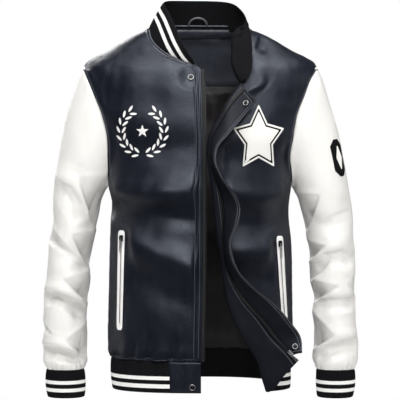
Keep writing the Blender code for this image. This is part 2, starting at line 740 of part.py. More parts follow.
def laid_grid(tree, places, thickness, lift):
    """Grid over a wall's front at places in x and z, moved out to lie on it."""
    grid = []
    for row in places:
        points = []
        for x, z in row:
            place, normal = front_hit(tree, x, z)
            points.append(place + normal * (lift + thickness / 2))
        grid.append(points)
    return grid


Pocket = namedtuple("Pocket", "side top_x top_z bottom_x bottom_z")
POCKETS = [
    Pocket("right", -145.5, -376, -149.5, -561),
    Pocket("left", 145.5, -386, 157.0, -566),
]
WELT_WIDTH = 15.0
WELT_THICKNESS = 1.4
WELT_LIFT = 1.2
WELT_ROWS = 9
POCKET_ZIP_WIDTH = 4.0
POCKET_ZIP_THICKNESS = 1.0
POCKET_ZIP_INSET = 9.0
POCKET_ZIP_LIFT = 0.9


def pocket_strip(tree, pocket, width, inset, thickness, lift):
    """Strip down a pocket opening."""
    top = np.array([pocket.top_x, pocket.top_z])
    bottom = np.array([pocket.bottom_x, pocket.bottom_z])
    along = (bottom - top) / np.linalg.norm(bottom - top)
    places = []
    for share in np.linspace(0, 1, WELT_ROWS):
        middle = top + along * inset + (bottom - top - 2 * along * inset) * share
        places.append([(middle[0] + step * width / 2, middle[1]) for step in (-1, 0, 1)])
    return laid_grid(tree, places, thickness, lift)


for pocket in POCKETS:
    panel_tree = surface_tree("front_" + pocket.side)
    welt = Cloth("pocket_welt_" + pocket.side,
                 pocket_strip(panel_tree, pocket, WELT_WIDTH, 0, WELT_THICKNESS, WELT_LIFT),
                 WELT_THICKNESS, OFF_WHITE)
    walls[welt.name] = make_wall(welt)
    welt_tree = surface_tree(welt.name)
    teeth = Cloth("pocket_zip_" + pocket.side,
                  pocket_strip(welt_tree, pocket, POCKET_ZIP_WIDTH, POCKET_ZIP_INSET,
                               POCKET_ZIP_THICKNESS, POCKET_ZIP_LIFT),
                  POCKET_ZIP_THICKNESS, METAL)
    walls[teeth.name] = make_wall(teeth)

# --- Sliders and pull tabs ------------------------------------------------------------------------

BASE_WIDTH = 8.0
BASE_LENGTH = 11.0
BASE_THICKNESS = 2.4
PULL_AXIS_HEIGHT = BASE_THICKNESS + 1.3
ARCH_WIDTH = 1.6
ARCH_POST = 1.3
ARCH_SPAN = 2.4
ARCH_TOP = PULL_AXIS_HEIGHT + 1.2
ARCH_BAR = 1.0
PULL_WIDTH = 5.4
PULL_THICKNESS = 1.1
PULL_BAR = 0.55
WINDOW_WIDTH = 2.8
WINDOW_LENGTH = 6.5
PULL_HOLE_LENGTH = 4.0
PULL_END = 2.0


def box_in(work, low, high):
    """Add a box between two corners to a mesh being made."""
    low, high = Vector(low), Vector(high)
    made = bmesh.ops.create_cube(work, size=1)
    size = Matrix.Diagonal((high - low).to_4d())
    size[3][3] = 1
    bmesh.ops.transform(work, matrix=Matrix.Translation((low + high) / 2) @ size, verts=made["verts"])


def mesh_object(name, build, colour, metallic=0.0, roughness=0.35):
    """Object whose mesh is made by a function in millimetres."""
    work = bmesh.new()
    build(work)
    vertices = [vertex.co.copy() for vertex in work.verts]
    work.verts.index_update()
    faces = [[vertex.index for vertex in face.verts] for face in work.faces]
    work.free()
    return add_object(name, vertices, faces, colour, roughness, metallic, smooth=False)


def slider_part(work):
    """Slider base, a flat block; +Z is up the zip, -Y stands out."""
    base = (BASE_WIDTH / 2, BASE_LENGTH / 2)
    box_in(work, (-base[0], -BASE_THICKNESS, -base[1]), (base[0], 0, base[1]))


def arch_part(work):
    """Arch that holds the pull: two posts and a bar, sunk into the base to be joined to it."""
    half, reach, root = ARCH_WIDTH / 2, ARCH_SPAN / 2 + ARCH_POST, -BASE_THICKNESS + 0.5
    outline = [
        (-reach, root), (-reach, -ARCH_TOP - ARCH_BAR), (reach, -ARCH_TOP - ARCH_BAR), (reach, root),
        (ARCH_SPAN / 2, root), (ARCH_SPAN / 2, -ARCH_TOP), (-ARCH_SPAN / 2, -ARCH_TOP),
        (-ARCH_SPAN / 2, root),
    ]
    face = work.faces.new([work.verts.new((-half, y, z)) for z, y in outline])
    made = bmesh.ops.extrude_face_region(work, geom=[face])
    moved = [item for item in made["geom"] if isinstance(item, bmesh.types.BMVert)]
    bmesh.ops.translate(work, vec=(ARCH_WIDTH, 0, 0), verts=moved)


def pull_part(length):
    """Maker of a flat pull tab about its hinge axis: a window round the arch and a slot below it."""
    def build(work):
        half, side = PULL_THICKNESS / 2, PULL_WIDTH / 2
        hole_top = -length + PULL_END + PULL_HOLE_LENGTH
        levels = [PULL_BAR, -PULL_BAR, -PULL_BAR - WINDOW_LENGTH, hole_top, -length + PULL_END, -length]
        columns = [-side, -WINDOW_WIDTH / 2, WINDOW_WIDTH / 2, side]
        points = [[work.verts.new((x, -half, z)) for x in columns] for z in levels]
        for row in range(len(levels) - 1):
            for column in range(3):
                if column == 1 and row in (1, 3):
                    continue
                corners = [points[row][column], points[row][column + 1]]
                corners += [points[row + 1][column + 1], points[row + 1][column]]
                work.faces.new(corners)
        made = bmesh.ops.extrude_face_region(work, geom=list(work.faces))
        moved = [item for item in made["geom"] if isinstance(item, bmesh.types.BMVert)]
        bmesh.ops.translate(work, vec=(0, PULL_THICKNESS, 0), verts=moved)
    return build


def join(target, tool):
    """Join a closed tool to a target by an exact union and remove the tool."""
    modifier = target.modifiers.new("Join", "BOOLEAN")
    modifier.object = tool
    modifier.operation = "UNION"
    modifier.solver = "EXACT"
    bpy.context.view_layer.objects.active = target
    bpy.context.view_layer.update()
    evaluated = target.evaluated_get(bpy.context.evaluated_depsgraph_get())
    mesh = bpy.data.meshes.new_from_object(evaluated)
    target.modifiers.clear()
    target.data = mesh
    bpy.data.objects.remove(tool, do_unlink=True)


def zip_pull_set(slider_name, pull_name, place, turn, length):
    """Slider on its teeth and the pull tab on its arch; the tab's origin is on its hinge axis."""
    slider = mesh_object(slider_name, slider_part, METAL, 1.0)
    join(slider, mesh_object(slider_name + "_arch", arch_part, METAL, 1.0))
    slider.matrix_world = Matrix.Translation(place * MM) @ turn
    pull = mesh_object(pull_name, pull_part(length), METAL, 1.0)
    axis_place = place + turn @ Vector((0, -PULL_AXIS_HEIGHT, 0))
    pull.matrix_world = Matrix.Translation(axis_place * MM) @ turn


SLIDER_DROP = 14.0
SLIDER_CLEAR = 1.0
POCKET_PULL = 26.0
for pocket in POCKETS:
    zip_tree = surface_tree("pocket_zip_" + pocket.side)
    slope = (pocket.bottom_x - pocket.top_x) / (pocket.bottom_z - pocket.top_z)
    z = pocket.top_z - SLIDER_DROP
    place, normal = front_hit(zip_tree, pocket.top_x - slope * SLIDER_DROP, z)
    facing = Vector((normal.x, normal.y, 0)).normalized()
    turn = Matrix.Rotation(math.atan2(facing.x, -facing.y), 4, "Z")
    zip_pull_set("pocket_slider_" + pocket.side, "pocket_pull_" + pocket.side,
                 place + facing * SLIDER_CLEAR, turn, POCKET_PULL)

FRONT_PULL = 20.0
tape_tree = surface_tree("zip_tape_left")
end_low, end_high = zip_tape_left.grid[-1].mean(axis=0), zip_tape_left.grid[-2].mean(axis=0)
slider_middle = Vector(end_low + (end_high - end_low) * 0.15)
place, normal = front_hit(tape_tree, slider_middle.x, slider_middle.z)
across = Vector(end_low - end_high)
across = (across - normal * across.dot(normal)).normalized()
side = normal.cross(across).normalized()
turn = Matrix((side, -normal, -across)).transposed().to_4x4()
zip_pull_set("zip_slider", "zip_pull", place + normal * SLIDER_CLEAR, turn, FRONT_PULL)

# --- Snaps ------------------------------------------------------------------------------------------

Snap = namedtuple("Snap", "name on x z radius height")
SNAPS = [
    Snap("snap_neck", "front_right", -18, -93, 5.4, 2.4),
    Snap("snap_hem", "hem_tab_right", -15, -664, 5.4, 2.4),
    Snap("snap_flap_neck", "storm_flap", 83, -141, 5.0, 2.0),
    Snap("snap_flap_hem", "storm_flap", 174, -588, 5.0, 2.0),
]
SNAP_SIDES = 16
SNAP_LIFT = 0.7


def snap_part(snap):
    """Maker of a round snap: a low disc with a raised ring edge and a hollow in its middle."""
    def build(work):
        profile = [
            (snap.radius, 0), (snap.radius, 0.4 * snap.height), (0.8 * snap.radius, snap.height),
            (0.45 * snap.radius, snap.height), (0.35 * snap.radius, 0.6 * snap.height),
        ]
        rings = []
        for radius, height in profile:
            ring = []
            for step in range(SNAP_SIDES):
                angle = 2 * math.pi * step / SNAP_SIDES
                ring.append(work.verts.new((radius * math.cos(angle), -height, radius * math.sin(angle))))
            rings.append(ring)
        for outer, inner in zip(rings, rings[1:]):
            for step in range(SNAP_SIDES):
                beside = (step + 1) % SNAP_SIDES
                work.faces.new([outer[step], outer[beside], inner[beside], inner[step]])
        work.faces.new(rings[0])
        work.faces.new(rings[-1])
    return build


for snap in SNAPS:
    place, normal = front_hit(surface_tree(snap.on), snap.x, snap.z)
    item = mesh_object(snap.name, snap_part(snap), METAL, 1.0)
    turn = Vector((0, -1, 0)).rotation_difference(normal).to_matrix().to_4x4()
    item.matrix_world = Matrix.Translation((place + normal * SNAP_LIFT) * MM) @ turn

# --- Patches ----------------------------------------------------------------------------------------

PATCH_THICKNESS = 2.0
PATCH_LIFT = 1.2
PATCH_RINGS = [1.0, 0.7, 0.4, 0.12]
STAR_CENTRE = (107, -206)
STAR_RADIUS = 60.0
STAR_WAIST = 0.55
STAR_SCALE = (0.84, 1.06)
BADGE_CENTRE = (0, -241)
BADGE_HALF = (18.0, 35.0)
BADGE_CORNER = 0.5
BADGE_TILT = 0.15
BADGE_SWING = math.radians(42)
BADGE_ABOUT_X = 225.0


def star_outline():
    """Outline of a five-pointed star, two steps to each side of a point."""
    corners = []
    for step in range(10):
        radius = STAR_RADIUS * (1 if step % 2 == 0 else STAR_WAIST)
        angle = math.pi / 2 - math.pi * step / 5
        corners.append(np.array([radius * math.cos(angle) * STAR_SCALE[0],
                                 radius * math.sin(angle) * STAR_SCALE[1]]))
    outline = []
    for start, end in zip(corners, corners[1:] + corners[:1]):
        outline += [start, (start + end) / 2]
    return outline


def badge_outline():
    """Outline of an upright bar with cut corners, tilted as the sleeve hangs."""
    half = np.array(BADGE_HALF)
    cut = half[0] * BADGE_CORNER
    right = [(half[0] - cut, half[1]), (half[0], half[1] - cut), (half[0], 0), (half[0], cut - half[1]),
             (half[0] - cut, -half[1])]
    corners = right + [(-x, z) for x, z in reversed(right)]
    lean = math.cos(BADGE_TILT), math.sin(BADGE_TILT)
    return [np.array([x * lean[0] - z * lean[1], x * lean[1] + z * lean[0]]) for x, z in corners]


def patch(name, on, centre, outline, colour, swing=0.0, about_x=0.0):
    """Patch on a wall: rings drawn in from its outline to a middle point."""
    tree = surface_tree(on)
    count = len(outline)
    places = [np.array(centre) + point * share for share in PATCH_RINGS for point in outline]
    places.append(np.array(centre, float))
    hits = [front_hit(tree, x, z, swing, about_x) for x, z in places]
    under = [place + normal * PATCH_LIFT for place, normal in hits]
    over = [place + normal * (PATCH_LIFT + PATCH_THICKNESS) for place, normal in hits]
    layer, middle = len(places), len(places) - 1
    faces = []
    for step in range(count):
        beside = (step + 1) % count
        for ring in range(len(PATCH_RINGS) - 1):
            start, end = ring * count, (ring + 1) * count
            for corner, turned in ((start + beside, end + beside), (end + beside, end + step)):
                face = [start + step, corner, turned]
                faces += [face, [index + layer for index in reversed(face)]]
        inner = (len(PATCH_RINGS) - 1) * count
        face = [inner + step, inner + beside, middle]
        faces += [face, [index + layer for index in reversed(face)]]
        faces.append([beside, step, step + layer, beside + layer])
    return add_object(name, under + over, faces, colour)


patch("chest_patch", "front_left", STAR_CENTRE, star_outline(), OFF_WHITE)
patch("sleeve_patch", "sleeve_left", BADGE_CENTRE, badge_outline(), BLACK, BADGE_SWING, BADGE_ABOUT_X)

# --- Hanger loop ------------------------------------------------------------------------------------

LOOP_LEFT_X = -22.0
LOOP_RIGHT_X = 12.0
LOOP_FOOT_Z = 12.0
LOOP_RISE = 13.0
LOOP_RADIUS = 1.5
LOOP_SIDES = 8
LOOP_STEPS = 12
LOOP_STANDS_OFF = 7.0


def loop_points(tree):
    """Middle line of the loop, from one foot on the collar's inner face over to the other."""
    middle_x = (LOOP_LEFT_X + LOOP_RIGHT_X) / 2
    half = (LOOP_RIGHT_X - LOOP_LEFT_X) / 2
    points = []
    for step in range(LOOP_STEPS + 1):
        turn = math.pi * step / LOOP_STEPS
        x = middle_x - half * math.cos(turn)
        z = LOOP_FOOT_Z + LOOP_RISE * math.sin(turn)
        place, _, _, _ = tree.ray_cast(Vector((x, 0, z)), Vector((0, 1, 0)))
        off = 2 * SEAM_GAP + LOOP_RADIUS + LOOP_STANDS_OFF * math.sin(turn)
        points.append(Vector((x, place.y - off, z)))
    return points


def loop_part(work):
    """Round cord swept along the loop's middle line."""
    points = loop_points(surface_tree("collar"))
    rings = []
    for index, point in enumerate(points):
        ahead = points[min(index + 1, len(points) - 1)] - points[max(index - 1, 0)]
        aside = ahead.cross(Vector((0, 1, 0))).normalized()
        over = aside.cross(ahead).normalized()
        ring = []
        for step in range(LOOP_SIDES):
            angle = 2 * math.pi * step / LOOP_SIDES
            offset = (aside * math.cos(angle) + over * math.sin(angle)) * LOOP_RADIUS
            ring.append(work.verts.new(point + offset))
        rings.append(ring)
    for first, second in zip(rings, rings[1:]):
        for step in range(LOOP_SIDES):
            beside = (step + 1) % LOOP_SIDES
            work.faces.new([first[step], first[beside], second[beside], second[step]])
    work.faces.new(rings[0])
    work.faces.new(rings[-1])


mesh_object("hanger_loop", loop_part, BLACK)
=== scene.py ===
"""Looks of a varsity jacket: coated navy body, off-white sleeves, striped ribs, open zip front.

Sizes are in millimetres and turned into metres where a mesh is made. +X is the wearer's left and the
front faces -Y. Sections follow the jacket as it is sewn together.
"""

from collections import namedtuple
import math

import bmesh
import bpy
from mathutils import Matrix, Vector, noise
from mathutils.bvhtree import BVHTree
import numpy as np


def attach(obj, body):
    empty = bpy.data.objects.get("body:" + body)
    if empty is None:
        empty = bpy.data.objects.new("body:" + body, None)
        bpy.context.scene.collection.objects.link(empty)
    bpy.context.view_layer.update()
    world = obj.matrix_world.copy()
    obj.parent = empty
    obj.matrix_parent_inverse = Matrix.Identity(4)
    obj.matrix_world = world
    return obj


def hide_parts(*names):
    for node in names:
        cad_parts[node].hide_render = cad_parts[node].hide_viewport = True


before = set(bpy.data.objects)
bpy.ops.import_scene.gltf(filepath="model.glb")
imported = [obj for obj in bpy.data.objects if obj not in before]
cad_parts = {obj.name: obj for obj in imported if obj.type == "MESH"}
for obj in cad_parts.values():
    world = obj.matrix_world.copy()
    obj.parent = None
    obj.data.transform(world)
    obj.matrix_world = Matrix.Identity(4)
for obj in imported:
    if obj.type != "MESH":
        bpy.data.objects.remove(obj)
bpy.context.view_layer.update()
MM = 0.001

# --- Coated cloth of the body ----------------------------------------------------------------------
# A knitted backing with a navy polyurethane coat, pressed with a fine pebble grain and left with a soft
# satin gloss. It creases in broad soft folds, and the coat breaks into tiny lines where it bends.


def sockets(shader_node, **values):
    """Set a node's inputs by name, with underscores for spaces."""
    for name, value in values.items():
        shader_node.inputs[name.replace("_", " ")].default_value = value
    return shader_node


def node_in(tree, kind, **settings):
    """Add a node and set its own properties."""
    made = tree.nodes.new(kind)
    for name, value in settings.items():
        setattr(made, name, value)
    return made


def feed(tree, socket, source):
    """Link a socket to another one, or set it to a plain value."""
    if isinstance(source, bpy.types.NodeSocket):
        tree.links.new(source, socket)
    else:
        socket.default_value = source


def math_in(tree, operation, first, second=0.5, third=0.5):
    """Add a Math node on sockets or numbers and give back its output."""
    made = node_in(tree, "ShaderNodeMath", operation=operation)
    for socket, source in zip(made.inputs, (first, second, third)):
        feed(tree, socket, source)
    return made.outputs[0]


def mix_colours(tree, share, first, second):
    """Add a colour mix on sockets or colours and give back its output."""
    made = node_in(tree, "ShaderNodeMix", data_type="RGBA")
    for index, source in ((0, share), (6, first), (7, second)):
        feed(tree, made.inputs[index], source)
    return made.outputs[2]


def object_place(tree):
    """Place on the piece, in metres."""
    return node_in(tree, "ShaderNodeTexCoord").outputs["Object"]


def noise_in(tree, place, scale, detail=3.0, roughness=0.5, stretch=(1, 1, 1)):
    """Add a noise texture on a place, stretched along its axes, and give back its value."""
    mapping = node_in(tree, "ShaderNodeMapping")
    mapping.inputs["Scale"].default_value = stretch
    tree.links.new(place, mapping.inputs["Vector"])
    made = node_in(tree, "ShaderNodeTexNoise")
    sockets(made, Scale=scale, Detail=detail, Roughness=roughness)
    tree.links.new(mapping.outputs[0], made.inputs["Vector"])
    return made.outputs["Fac"]


def new_group(name, inputs, outputs):
    """Shader node group with float inputs and the named outputs."""
    group = bpy.data.node_groups.new(name, "ShaderNodeTree")
    for label, value in inputs:
        made = group.interface.new_socket(label, in_out="INPUT", socket_type="NodeSocketFloat")
        made.default_value = value
    for label, kind in outputs:
        group.interface.new_socket(label, in_out="OUTPUT", socket_type=kind)
    return group, node_in(group, "NodeGroupInput").outputs, node_in(group, "NodeGroupOutput").inputs


def pebble_grain():
    """Pressed grain of a coated cloth: cells with soft rims, pores, and broad unevenness."""
    group, given, out = new_group("pebble_grain", [("Cell Size", 600.0)],
                                  [("Height", "NodeSocketFloat"), ("Mottle", "NodeSocketFloat")])
    place = object_place(group)
    cells = node_in(group, "ShaderNodeTexVoronoi", feature="DISTANCE_TO_EDGE")
    group.links.new(place, cells.inputs["Vector"])
    group.links.new(given["Cell Size"], cells.inputs["Scale"])
    rim = node_in(group, "ShaderNodeMapRange", interpolation_type="SMOOTHSTEP")
    sockets(rim, From_Min=0.0, From_Max=0.28)
    group.links.new(cells.outputs["Distance"], rim.inputs["Value"])
    pores = noise_in(group, place, 2600.0, 2.0)
    waves = noise_in(group, place, 130.0, 5.0, 0.62)
    height = math_in(group, "MULTIPLY_ADD", pores, 0.35, rim.outputs[0])
    group.links.new(math_in(group, "MULTIPLY_ADD", waves, 2.4, height), out["Height"])
    group.links.new(noise_in(group, place, 40.0, 7.0, 0.68, (1.5, 1, 0.45)), out["Mottle"])
    return group


GRAIN = pebble_grain()


def new_material(name):
    """New material, its node tree and its shader."""
    material = bpy.data.materials.new(name)
    material.use_nodes = True
    return material, material.node_tree, material.node_tree.nodes["Principled BSDF"]


def relieve(tree, shader, height, strength, distance):
    """Give a shader the bump of a height, with its depth in metres."""
    relief = node_in(tree, "ShaderNodeBump")
    sockets(relief, Strength=strength, Distance=distance)
    tree.links.new(height, relief.inputs["Height"])
    tree.links.new(relief.outputs[0], shader.inputs["Normal"])


def coated_cloth(name, deep, light, roughness, cell_size, bump, tint=(1, 1, 1, 1)):
    """Material of a coated cloth in one colour, with its gloss tinted."""
    material, tree, shader = new_material(name)
    grain = node_in(tree, "ShaderNodeGroup", node_tree=GRAIN)
    grain.inputs["Cell Size"].default_value = cell_size
    tree.links.new(mix_colours(tree, grain.outputs["Mottle"], deep, light), shader.inputs["Base Color"])
    rough = node_in(tree, "ShaderNodeMapRange")
    sockets(rough, From_Min=0.32, From_Max=0.68, To_Min=roughness - 0.07, To_Max=roughness + 0.09)
    tree.links.new(grain.outputs["Mottle"], rough.inputs["Value"])
    tree.links.new(rough.outputs[0], shader.inputs["Roughness"])
    relieve(tree, shader, grain.outputs["Height"], bump, 0.00025)
    sockets(shader, IOR=1.58, Specular_Tint=tint)
    return material


NAVY = coated_cloth("navy_coated_cloth", (0.0023, 0.0030, 0.0068, 1), (0.0096, 0.0110, 0.0190, 1),
                    roughness=0.34, cell_size=700.0, bump=0.38, tint=(0.80, 0.865, 1.0, 1))

# --- Lining ----------------------------------------------------------------------------------------
# A smooth black-brown woven polyester, sewn to the neck facing and to the seams of the shell, and loose
# between them. It shows inside the back through the open front.


def woven_lining(name, deep, light, roughness, threads):
    """Material of a close, smooth weave: fine ribs both ways and a silky change of tone."""
    material, tree, shader = new_material(name)
    place = node_in(tree, "ShaderNodeUVMap").outputs[0]
    split = node_in(tree, "ShaderNodeSeparateXYZ")
    tree.links.new(place, split.inputs[0])
    across = math_in(tree, "SINE", math_in(tree, "MULTIPLY", split.outputs[0], threads))
    down = math_in(tree, "SINE", math_in(tree, "MULTIPLY", split.outputs[1], threads))
    weave = math_in(tree, "MULTIPLY", across, down)
    tone = noise_in(tree, object_place(tree), 22.0, 4.0)
    tree.links.new(mix_colours(tree, tone, deep, light), shader.inputs["Base Color"])
    relieve(tree, shader, weave, 0.35, 0.00012)
    sockets(shader, Roughness=roughness, Sheen_Weight=0.15, Sheen_Roughness=0.4)
    return material


LINING = woven_lining("dark_lining", (0.0110, 0.0090, 0.0090, 1), (0.0225, 0.0188, 0.0188, 1),
                      roughness=0.40, threads=12000.0)

# --- Body panels -----------------------------------------------------------------------------------
# Two fronts and a one-piece back, cut from the coated cloth, sewn at the shoulders and sides and
# turned out. Each panel dips into its seams, puckers along them and gathers above the rib hem.

# Corners closer than this are one. A rim face is known by an edge as long as its wall is thick.
SAME_POINT = 0.02
WALL_TOLERANCE = 0.0008
# At a sewn edge the back of the cloth runs on by the allowance. At every edge the face curves in by a
# share of the wall, over a second share of it.
ALLOWANCE = 1.4
ROUNDED, ROUND_REACH = 0.34, 0.5
SOFT_EDGE = 62
# Distances from a seam at which the fine grid has points, for the seam's dip, ridge and stitches.
SEAM_STATIONS = (0.0, 0.9, 2.2, 3.4, 4.5, 5.6, 7.4, 9.4, 10.6, 11.6, 12.6, 14.6)
FRONT, BACK = (0, -1, 0), (0, 1, 0)


def broad_sides(node, walls):
    """The two broad faces of a cloth wall, without the rim faces between them."""
    work = bmesh.new()
    work.from_mesh(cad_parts[node].data)
    bmesh.ops.remove_doubles(work, verts=work.verts, dist=SAME_POINT * MM)
    rim = {face for face in work.faces for edge in face.edges
           if any(abs(edge.calc_length() - wall * MM) < WALL_TOLERANCE * MM for wall in walls)}
    left = [face for face in work.faces if face not in rim]
    unseen = set(left)
    sides = []
    for first in left:
        if first not in unseen:
            continue
        unseen.discard(first)
        side, stack = [], [first]
        while stack:
            face = stack.pop()
            side.append(face)
            for edge in face.edges:
                for other in edge.link_faces:
                    if other in unseen:
                        unseen.discard(other)
                        stack.append(other)
        sides.append(side)
    return work, sides


def walk_rows(beyond, border, count, points):
    """Rows of vertex numbers of a triangulated grid, from a corner or, on a tube, from its top loop."""
    closed = not any(count[vertex] < 3 for vertex in border)
    start = max(sorted(border), key=lambda vertex: (count[vertex] < 3, points[vertex].z))
    row = [start]
    while border[row[-1]] != start and (closed or len(row) < 2 or count[row[-1]] > 2):
        row.append(border[row[-1]])
    rows = []
    while row:
        rows.append(row)
        pairs = list(zip(row, row[1:] + row[:1])) if closed else list(zip(row, row[1:]))
        if pairs[0] not in beyond:
            break
        tips = [beyond[pair] for pair in pairs]
        if closed:
            straight = sum((points[pair[0]] - points[tip]).length for pair, tip in zip(pairs, tips))
            slanted = sum((points[pair[1]] - points[tip]).length for pair, tip in zip(pairs, tips))
            row = tips if straight < slanted else tips[-1:] + tips[:-1]
        elif (row[0], tips[0]) in beyond:
            row = [beyond[row[0], tips[0]]] + tips
        else:
            row = tips + [beyond[tips[-1], row[-1]]]
    return rows, closed


Weave = namedtuple("Weave", "points normals closed")


def set_upright(points, outward, closed):
    """Turn a grid and its normals so that rows go down and columns towards +X.

    On a tube the columns start at the outermost point and go round by the front.
    """
    if not closed:
        drops = [np.diff(points[..., 2], axis=axis).mean()
                 / np.linalg.norm(np.diff(points, axis=axis), axis=2).mean() for axis in (0, 1)]
        if abs(drops[1]) > abs(drops[0]):
            points, outward = points.transpose(1, 0, 2), outward.transpose(1, 0, 2)
    if points[-1, :, 2].mean() > points[0, :, 2].mean():
        points, outward = points[::-1], outward[::-1]
    if closed:
        first = int(np.argmax(np.abs(points[0, :, 0])))
        points, outward = np.roll(points, -first, axis=1), np.roll(outward, -first, axis=1)
        if points[0, 1, 1] > points[0, -1, 1]:
            points = np.roll(points[:, ::-1], 1, axis=1)
            outward = np.roll(outward[:, ::-1], 1, axis=1)
    elif np.diff(points[..., 0], axis=1).mean() < 0:
        points, outward = points[:, ::-1], outward[:, ::-1]
    return points, outward


def cloth_grid(node, walls=(2.0,), facing=None):
    """Rows and columns of points over one broad face of a cloth wall, in metres, with its normals.

    The face is the larger one, or the one that faces a direction.
    """
    work, sides = broad_sides(node, walls)
    if facing is None:
        side = max(sides, key=lambda faces: sum(face.calc_area() for face in faces))
    else:
        side = max(sides, key=lambda faces: sum(face.normal.dot(Vector(facing)) * face.calc_area()
                                                for face in faces))
    beyond, count, normals = {}, {}, {}
    for face in side:
        corners = [vertex.index for vertex in face.verts]
        for turn in range(3):
            beyond[corners[turn], corners[turn - 2]] = corners[turn - 1]
            count[corners[turn]] = count.get(corners[turn], 0) + 1
            normals[corners[turn]] = normals.get(corners[turn], Vector()) + face.normal
    border = {first: second for first, second in beyond if (second, first) not in beyond}
    rows, closed = walk_rows(beyond, border, count, {vertex.index: vertex.co for vertex in work.verts})
    work.verts.ensure_lookup_table()
    points = np.array([[work.verts[vertex].co for vertex in row] for row in rows])
    outward = np.array([[normals[vertex] for vertex in row] for row in rows])
    work.free()
    return Weave(*set_upright(points, outward, closed), closed)


def spline(points, at):
    """Smooth curves through the rows of an array of points, at fractional row numbers."""
    steps = np.maximum(np.linalg.norm(np.diff(points, axis=0), axis=2), 1e-7)[..., None]
    slopes = np.diff(points, axis=0) / steps
    tangents = np.empty_like(points)
    tangents[1:-1] = (slopes[:-1] * steps[1:] + slopes[1:] * steps[:-1]) / (steps[:-1] + steps[1:])
    tangents[0] = 1.5 * slopes[0] - 0.5 * tangents[1] if len(points) > 2 else slopes[0]
    tangents[-1] = 1.5 * slopes[-1] - 0.5 * tangents[-2] if len(points) > 2 else slopes[-1]
    index = np.minimum(at.astype(int), len(points) - 2)
    share = (at - index)[:, None, None]
    span = steps[index]
    return (
        points[index] * (1 + 2 * share) * (1 - share) ** 2
        + tangents[index] * span * share * (1 - share) ** 2
        + points[index + 1] * share ** 2 * (3 - 2 * share)
        + tangents[index + 1] * span * share ** 2 * (share - 1)
    )


def from_start(steps):
    """Distances from the start, after each of some steps."""
    return np.concatenate([[0], np.cumsum(steps)])


def line_lengths(line):
    """Distance of each point of a line from its start."""
    return from_start(np.linalg.norm(np.diff(line, axis=0), axis=1))


def stations(length, step, ends):
    """Places along a length, closer together towards its two sewn ends, all in millimetres."""
    if not ends:
        return np.linspace(0, length, max(2, round(length / step) + 1))
    inner = length - 2 * SEAM_STATIONS[-1]
    if inner < step:
        return np.linspace(0, length, 9)
    middle = np.linspace(SEAM_STATIONS[-1], length - SEAM_STATIONS[-1], max(2, round(inner / step) + 1))
    edge = np.array(SEAM_STATIONS[:-1])
    return np.concatenate([edge, middle, length - edge[::-1]])


class Surface:
    """Fine grid of a cloth piece, in millimetres: points, normals, and distances u across and v down."""

    def __init__(self, weave, step, across_step=None, ends=True):
        points = weave.points / MM
        self.closed = weave.closed
        around = np.concatenate([points[:, -2:], points, points[:, :3]], axis=1) if self.closed else points
        lengths = np.linalg.norm(np.diff(around, axis=1), axis=2).mean(axis=0)
        along = from_start(lengths)
        if self.closed:
            along -= along[2]
            width = along[2 + points.shape[1]]
            count = max(8, round(width / (across_step or step)))
            self.u = np.linspace(0, width, count, endpoint=False)
        else:
            width = along[-1]
            self.u = stations(width, across_step or step, ends and not across_step)
        at = np.interp(self.u, along, np.arange(len(along)))
        grid = spline(around.transpose(1, 0, 2), at).transpose(1, 0, 2)
        drops = np.linalg.norm(np.diff(points, axis=0), axis=2).mean(axis=1)
        fall = from_start(drops)
        self.v = stations(fall[-1], step, ends)
        self.width, self.height = width, fall[-1]
        self.points = spline(grid, np.interp(self.v, fall, np.arange(len(fall))))
        drops = np.linalg.norm(np.diff(self.points, axis=0), axis=2)
        self.fall = np.concatenate([np.zeros((1, len(self.u))), np.cumsum(drops, axis=0)])
        self.turned = 1
        self.padding = 0
        normals = self.find_normals()
        rows = np.linspace(0, len(self.v) - 1, len(points)).astype(int)
        columns = np.linspace(0, len(self.u) - 1, points.shape[1]).astype(int)
        if self.closed:
            centre = self.points.mean(axis=1, keepdims=True)
            agree = np.sum(normals * (self.points - centre))
        else:
            agree = np.sum(normals[rows][:, columns] * weave.normals)
        if agree < 0:
            self.turned = -1
            normals = -normals
        self.normals = normals

    def find_normals(self):
        """Unit normals of the grid as it is now."""
        if self.closed:
            along = np.roll(self.points, -1, axis=1) - np.roll(self.points, 1, axis=1)
        else:
            along = np.gradient(self.points, axis=1)
        normals = np.cross(along, np.gradient(self.points, axis=0)) * self.turned
        return normals / np.maximum(np.linalg.norm(normals, axis=2, keepdims=True), 1e-9)

    def raise_by(self, offset):
        """Move the points along their normals by an offset for each, in millimetres."""
        self.points = self.points + self.normals * offset[..., None]
        self.normals = self.find_normals()

    def edge_distance(self, sides="tblr"):
        """Distance of each point from the nearest of the named edges: top, bottom, left, right."""
        far = np.full(self.points.shape[:2], 1e6)
        if "t" in sides:
            far = np.minimum(far, self.v[:, None])
        if "b" in sides:
            far = np.minimum(far, self.height - self.v[:, None])
        if not self.closed and "l" in sides:
            far = np.minimum(far, self.u[None, :])
        if not self.closed and "r" in sides:
            far = np.minimum(far, self.width - self.u[None, :])
        return far

    def at(self, u, v):
        """Point and normal of the surface at distances along it."""
        column = np.interp(u, self.u, np.arange(len(self.u)))
        row = np.interp(v, self.v, np.arange(len(self.v)))
        c, r = min(int(column), len(self.u) - 2), min(int(row), len(self.v) - 2)
        s, t = column - c, row - r
        def blend(field):
            return ((field[r, c] * (1 - s) + field[r, c + 1] * s) * (1 - t)
                    + (field[r + 1, c] * (1 - s) + field[r + 1, c + 1] * s) * t)
        normal = blend(self.normals)
        return blend(self.points), normal / np.linalg.norm(normal)


def rumple(surface, scale, seed, stretch=(1, 1, 1)):
    """Smooth noise between -1 and 1 at each point of a surface; scale is the size of its swells."""
    scaled = surface.points / scale * np.array(stretch) + seed * 13.7
    flat = scaled.reshape(-1, 3)
    return np.array([noise.noise(Vector(point)) for point in flat]).reshape(scaled.shape[:2])


